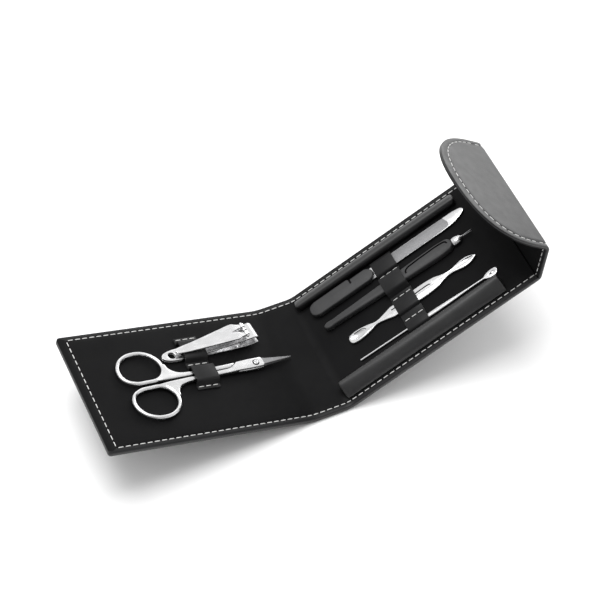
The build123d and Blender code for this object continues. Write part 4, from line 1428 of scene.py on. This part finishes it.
# %% Clipper lever
LEVER_LOW = 3.8
EYE_HEIGHT = 8.4
EYE_RADIUS = 1.15
lever_blank = both_sides([
    (6.8, 0.0, "s"), (7.3, 1.1, "s"), (9.6, 1.75, "s"), (16.0, 2.4), (37.4, 4.6), (39.0, 4.6, "s"),
    (41.0, 3.8, "s"), (44.2, 3.3), (44.2, 1.6), (42.0, 1.5), (37.2, 0.0),
])
lever = flat_solid("lever_steel", [lever_blank], LEVER_LOW, LEVER_LOW + STRIP_STEEL, 0.13, 8)
lever_lines = [
    (7.0, 5.0), (15.0, 3.0), (17.0, 0.5), (23.0, 0.5), (25.0, 0.5), (36.5, -5), (38.5, -5), (40.5, -3),
]
bend_lines(lever, LEVER_LOW + STRIP_STEEL / 2, lever_lines)
outwards(lever)
print("tines end at mm", round(max(v.co.z for v in lever.data.vertices) / MM, 2), "eyes at", EYE_HEIGHT)


def across(name, x, y, z, radius, length):
    """A short round bar that lies across the clipper."""
    bpy.ops.object.select_all(action="DESELECT")
    bpy.ops.mesh.primitive_cylinder_add(
        vertices=32, radius=radius * MM, depth=length * MM, location=(x * MM, y * MM, z * MM),
        rotation=(math.pi / 2, 0, 0),
    )
    bar = bpy.context.object
    bar.name = name
    settle(bar)
    return bar


eyes = [across("eye", PIN_X, side * 2.45, EYE_HEIGHT, EYE_RADIUS, 1.75) for side in (1, -1)]
weld(lever, *eyes)
cut_out(lever, across("bore", PIN_X, 0, EYE_HEIGHT, 0.7, 20))
put(lever, clipper_place)
smooth(lever, 40)
wear_finish(lever, polished_steel)
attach(lever, "clipper_lever")
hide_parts("clipper_lever")
report(lever)

# %% [markdown]
# The long tools have flat blanks too. The file is a thin blade with a polished tip, a plate of grit
# on each face and a moulded handle over its root. A short nick is cut across the handle.

# %% Nail file
GRIT_END = 85.2
HANDLE_Y = 19.15
NICK_X = 30.6
GRIP_BOTTOM_X = 10.4
GRIT_LOW = 0.45
GRIT_HIGH = 1.33
file_place = on_lining("back", 0, 0, TOOL_GAP)
file_outline = [
    (24.1, 21.8), (84.0, 21.8, "s"), (91.5, 21.5, "s"), (94.6, 20.4, "s"), (95.0, 19.4, "s"),
    (93.6, 18.2, "s"), (89.0, 16.4, "s"), (82.0, 15.6, "s"), (76.0, 15.6), (24.1, 15.6),
]
grit_outline = [
    (44.0, 21.6), (GRIT_END - 0.9, 21.6), (GRIT_END, 17.0, "s"), (GRIT_END - 3, 16.1, "s"),
    (80.0, 15.85, "s"), (76.0, 15.8), (44.0, 15.8),
]
file_steel = flat_solid("file_steel", [file_outline], 0.5, 1.25, 0.1, 10)
grit = flat_solid("grit", [grit_outline], GRIT_LOW, GRIT_HIGH, 0.02, 10)
weld(file_steel, grit)
wear_finish(file_steel, polished_steel)
file_steel.data.materials.append(ground_steel)
for face in file_steel.data.polygons:
    face.material_index = int(abs(face.center.z - 0.89 * MM) > 0.42 * MM)
handle_outline = [
    (6.6, HANDLE_Y, "s"), (7.4, HANDLE_Y + 2.6, "s"), (10.2, HANDLE_Y + 3.95), (29.4, HANDLE_Y + 3.95),
    (30.4, HANDLE_Y + 3.0), (39.4, HANDLE_Y + 3.0),
    (41.9, HANDLE_Y + 1.4, "s"), (42.5, HANDLE_Y - 0.6, "s"), (41.7, HANDLE_Y - 2.6, "s"),
    (39.4, HANDLE_Y - 3.95), (10.2, HANDLE_Y - 3.95), (7.4, HANDLE_Y - 2.6, "s"),
]
file_grip = flat_solid("file_grip", [handle_outline], 0, 3.2, 0.62, 8)
edit(file_grip)
cut((GRIP_BOTTOM_X * MM, 0, 0), (1, 0, 0))
pick(file_grip, lambda p: p.x < (GRIP_BOTTOM_X - 0.1) * MM and p.z < 1.6 * MM)
bpy.ops.transform.rotate(
    value=math.radians(-10), orient_axis="Y", center_override=(GRIP_BOTTOM_X * MM, 0, 0),
)
done()
wear_finish(file_grip, handle_plastic)
bpy.ops.object.select_all(action="DESELECT")
bpy.ops.mesh.primitive_cube_add(size=1, location=(NICK_X * MM, (HANDLE_Y + 2.6) * MM, 2.7 * MM))
nick = bpy.context.object
nick.scale = (1.0 * MM, 4.2 * MM, 2.6 * MM)
settle(nick)
# The nick's walls take the near-black finish: painted shade inside the cut.
nick.data.materials.append(groove_shade)
cut_out(file_grip, nick)
for piece, node in ((file_steel, "file_blade"), (file_grip, "file_handle")):
    fit(piece, file_place, 35, "file", node)

# %% [markdown]
# The trimmer's handle is a slim bar with a thumb rest: a groove runs round the rest like a letter U
# laid down. The grooves are cut by bent round bars.

# %% Cuticle trimmer
def groove_cutter(points, width, depth, top):
    """A bar along points (x, y) in mm that cuts a groove into a surface at the height given; it carries the
    near-black finish, so the groove's walls get painted shade.
    """
    curve = bpy.data.curves.new("groove", "CURVE")
    curve.dimensions = "3D"
    curve.bevel_depth = width / 2 * MM
    curve.bevel_resolution = 4
    curve.use_fill_caps = True
    spline = curve.splines.new("BEZIER")
    spline.bezier_points.add(len(points) - 1)
    for point, (x, y) in zip(spline.bezier_points, points):
        point.co = (x * MM, y * MM, 0)
        point.handle_left_type = point.handle_right_type = "AUTO"
    piece = bpy.data.objects.new("groove", curve)
    bpy.context.scene.collection.objects.link(piece)
    piece.scale.z = 2 * depth / width
    piece.location = (0, 0, top * MM)
    piece = to_mesh(piece)
    piece.data.materials.append(groove_shade)
    return piece


TRIMMER_LENGTH = 73.4
TRIMMER_TOP = 3.5
trimmer_place = on_lining("back", 8.9 * MM, 7.3 * MM, TOOL_GAP, -0.5)
bar_outline = both_sides([
    (0.0, 0.0, "s"), (0.7, 1.2, "s"), (6.0, 1.6, "s"), (20.0, 2.1, "s"), (45.0, 3.0, "s"), (60.0, 3.4, "s"),
    (68.5, 3.3, "s"), (72.2, 2.4, "s"), (TRIMMER_LENGTH, 0.0, "s"),
])
trimmer_grip = flat_solid("trimmer_grip", [bar_outline], 0, TRIMMER_TOP, 0.75, 10)
rest_groove = [
    (47.2, -0.9), (47.3, 0.2), (48.6, 1.3), (52.0, 1.75), (60.0, 2.1), (68.0, 2.1), (70.6, 1.5), (71.2, 0.4),
]
wear_finish(trimmer_grip, handle_plastic)
# The U groove's walls take the near-black finish: painted shade in the groove.
cut_out(trimmer_grip, groove_cutter(rest_groove, 0.85, 1.3, TRIMMER_TOP))

# %% [markdown]
# The ferrule is a round bar with rows along it. Each row is scaled to its own width and height, so
# the ferrule narrows to the fork. The flat tines with their notch are welded into its end.

# %% Ferrule and fork
FERRULE_LENGTH = 5.8
FORK_LENGTH = 4.8
FORK_HEIGHT = 1.6
bpy.ops.object.select_all(action="DESELECT")
bpy.ops.mesh.primitive_cylinder_add(
    vertices=40, radius=1.5 * MM, depth=FERRULE_LENGTH * MM,
    location=((TRIMMER_LENGTH + FERRULE_LENGTH / 2) * MM, 0, FORK_HEIGHT * MM), rotation=(0, math.pi / 2, 0),
)
fork = bpy.context.object
fork.name = "trimmer_fork_steel"
settle(fork)
edit(fork)
ferrule_rows = [(0, 1.45, 0.95), (0.35, 1.5, 1.0), (0.7, 1.2, 0.8), (0.85, 0.45, 0.42), (1, 0.3, 0.3)]
for share, width, height in ferrule_rows[1:-1]:
    cut(((TRIMMER_LENGTH + FERRULE_LENGTH * share) * MM, 0, 0), (1, 0, 0))
for share, width, height in ferrule_rows:
    place = (TRIMMER_LENGTH + FERRULE_LENGTH * share) * MM
    pick(fork, lambda p: abs(p.x - place) < 0.01 * MM)
    bpy.ops.transform.resize(value=(1, width, height), center_override=(place, 0, FORK_HEIGHT * MM))
done()
modifier(fork, "BEVEL", width=0.12 * MM, segments=2, limit_method="ANGLE", angle_limit=math.radians(50))
fork_x = TRIMMER_LENGTH + FERRULE_LENGTH
fork_outline = both_sides([
    (fork_x - 1.5, 0.0), (fork_x - 1.5, 0.42), (fork_x + 1.0, 0.36), (fork_x + FORK_LENGTH, 0.52),
    (fork_x + FORK_LENGTH, 0.34), (fork_x + 1.7, 0.09), (fork_x + 1.5, 0.0),
])
weld(fork, flat_solid("tines", [fork_outline], FORK_HEIGHT - 0.25, FORK_HEIGHT + 0.25, 0.06, 6))
wear_finish(fork, polished_steel)
fork.data.materials.append(ground_steel)
for face in fork.data.polygons:
    face.material_index = int(face.center.x > (fork_x - 0.4) * MM)
for piece, node in ((trimmer_grip, "trimmer_handle"), (fork, "trimmer_fork")):
    fit(piece, trimmer_place, 38, "trimmer", node)

# %% [markdown]
# The pusher is forged from one bar: a hollowed spoon, a waist, a square grip with a fine groove, a
# second waist and a hollow leaf. Its hollows are ground, here by taking away stretched balls.

# %% Cuticle pusher
PUSHER_LENGTH = 72.7
PUSHER_TOP = 1.4
pusher_place = on_lining("back", 16.0 * MM, -5.9 * MM, TOOL_GAP)


def stretched_ball(x, y, z, half_length, half_width, half_height):
    """A ball stretched to an oval, as the tool that hollows a spoon."""
    bpy.ops.object.select_all(action="DESELECT")
    bpy.ops.mesh.primitive_uv_sphere_add(
        segments=40, ring_count=20, radius=MM, location=(x * MM, y * MM, z * MM),
    )
    ball = bpy.context.object
    ball.scale = (half_length, half_width, half_height)
    settle(ball)
    return ball


pusher_outline = both_sides([
    (0.0, 0.0, "s"), (0.6, 1.8, "s"), (2.6, 2.6, "s"), (7.4, 2.6, "s"), (11.2, 1.9, "s"), (15.8, 0.85, "s"),
    (20.4, 1.7, "s"), (24.6, 2.87), (49.6, 2.87, "s"), (53.6, 1.6, "s"), (58.0, 1.0, "s"), (61.8, 1.6, "s"),
    (65.6, 2.2, "s"), (69.6, 1.6, "s"), (PUSHER_LENGTH, 0.0),
])
pusher = flat_solid("pusher_steel", [pusher_outline], 0, PUSHER_TOP, 0.3, 10)
wear_finish(pusher, polished_steel)
# The grooves along the grip, the leaf and the spoon take the near-black finish as painted shade.
cut_out(
    pusher,
    stretched_ball(5.3, 0, PUSHER_TOP + 0.7, 4.5, 2.1, 1.4),
    stretched_ball(68.2, 0, PUSHER_TOP + 0.8, 3.6, 1.3, 1.1),
    groove_cutter([(24.6, 0.9), (35.0, 0.9), (46.4, 0.9), (47.0, 0.5)], 0.62, 0.75, PUSHER_TOP),
    groove_cutter([(65.0, 0.9), (68.2, 1.0), (70.9, 0.45)], 0.45, 0.45, PUSHER_TOP),
    groove_cutter([(3.4, 1.85), (6.6, 1.85), (9.0, 1.3), (9.7, 0.2)], 0.4, 0.5, PUSHER_TOP - 0.1),
)

# %% [markdown]
# The ear pick is a thin round rod with a thicker, gently tapered grip and a tiny spoon at its end.
# The grip is pressed wide: the rod has rows along it, and each is scaled across to its own width.

# %% Ear pick
PICK_ROD = 0.5
PICK_END = 77.5
pick_place = on_lining("back", 16.0 * MM, -17.9 * MM, TOOL_GAP, -1.05)
bpy.ops.object.select_all(action="DESELECT")
bpy.ops.mesh.primitive_cylinder_add(
    vertices=24, radius=PICK_ROD * MM, depth=72.0 * MM, location=(36.0 * MM, 0, PICK_ROD * MM),
    rotation=(0, math.pi / 2, 0),
)
pick_rod = bpy.context.object
pick_rod.name = "pick_steel"
settle(pick_rod)
edit(pick_rod)
grip_rows = [
    (35.4, 1.0), (35.6, 1.9), (36.2, 2.3), (44.0, 2.3), (52.0, 1.9), (58.0, 1.4), (62.0, 1.0), (70.0, 1.0),
]
for place, wide in grip_rows:
    cut((place * MM, 0, 0), (1, 0, 0))
for place, wide in grip_rows:
    pick(pick_rod, lambda p: abs(p.x - place * MM) < 0.01 * MM)
    bpy.ops.transform.resize(value=(1, wide, 1), center_override=(0, 0, PICK_ROD * MM))
done()
spoon_outline = [
    (69.6, 0.4), (71.8, 1.5, "s"), (75.0, 1.95, "s"), (77.2, 1.5, "s"), (PICK_END, 0.3, "s"),
    (76.4, -1.2, "s"), (73.8, -1.8, "s"), (71.6, -1.4, "s"), (69.6, -0.4),
]
wear_finish(pick_rod, polished_steel)
weld(pick_rod, flat_solid("spoon", [spoon_outline], 0.02, 0.98, 0.22, 8))
cut_out(pick_rod, stretched_ball(75.0, 0.1, 1.72, 2.0, 1.2, 1.1))
fit(pusher, pusher_place, 38, "pusher", "pusher")
fit(pick_rod, pick_place, 38, "pick", "pick")
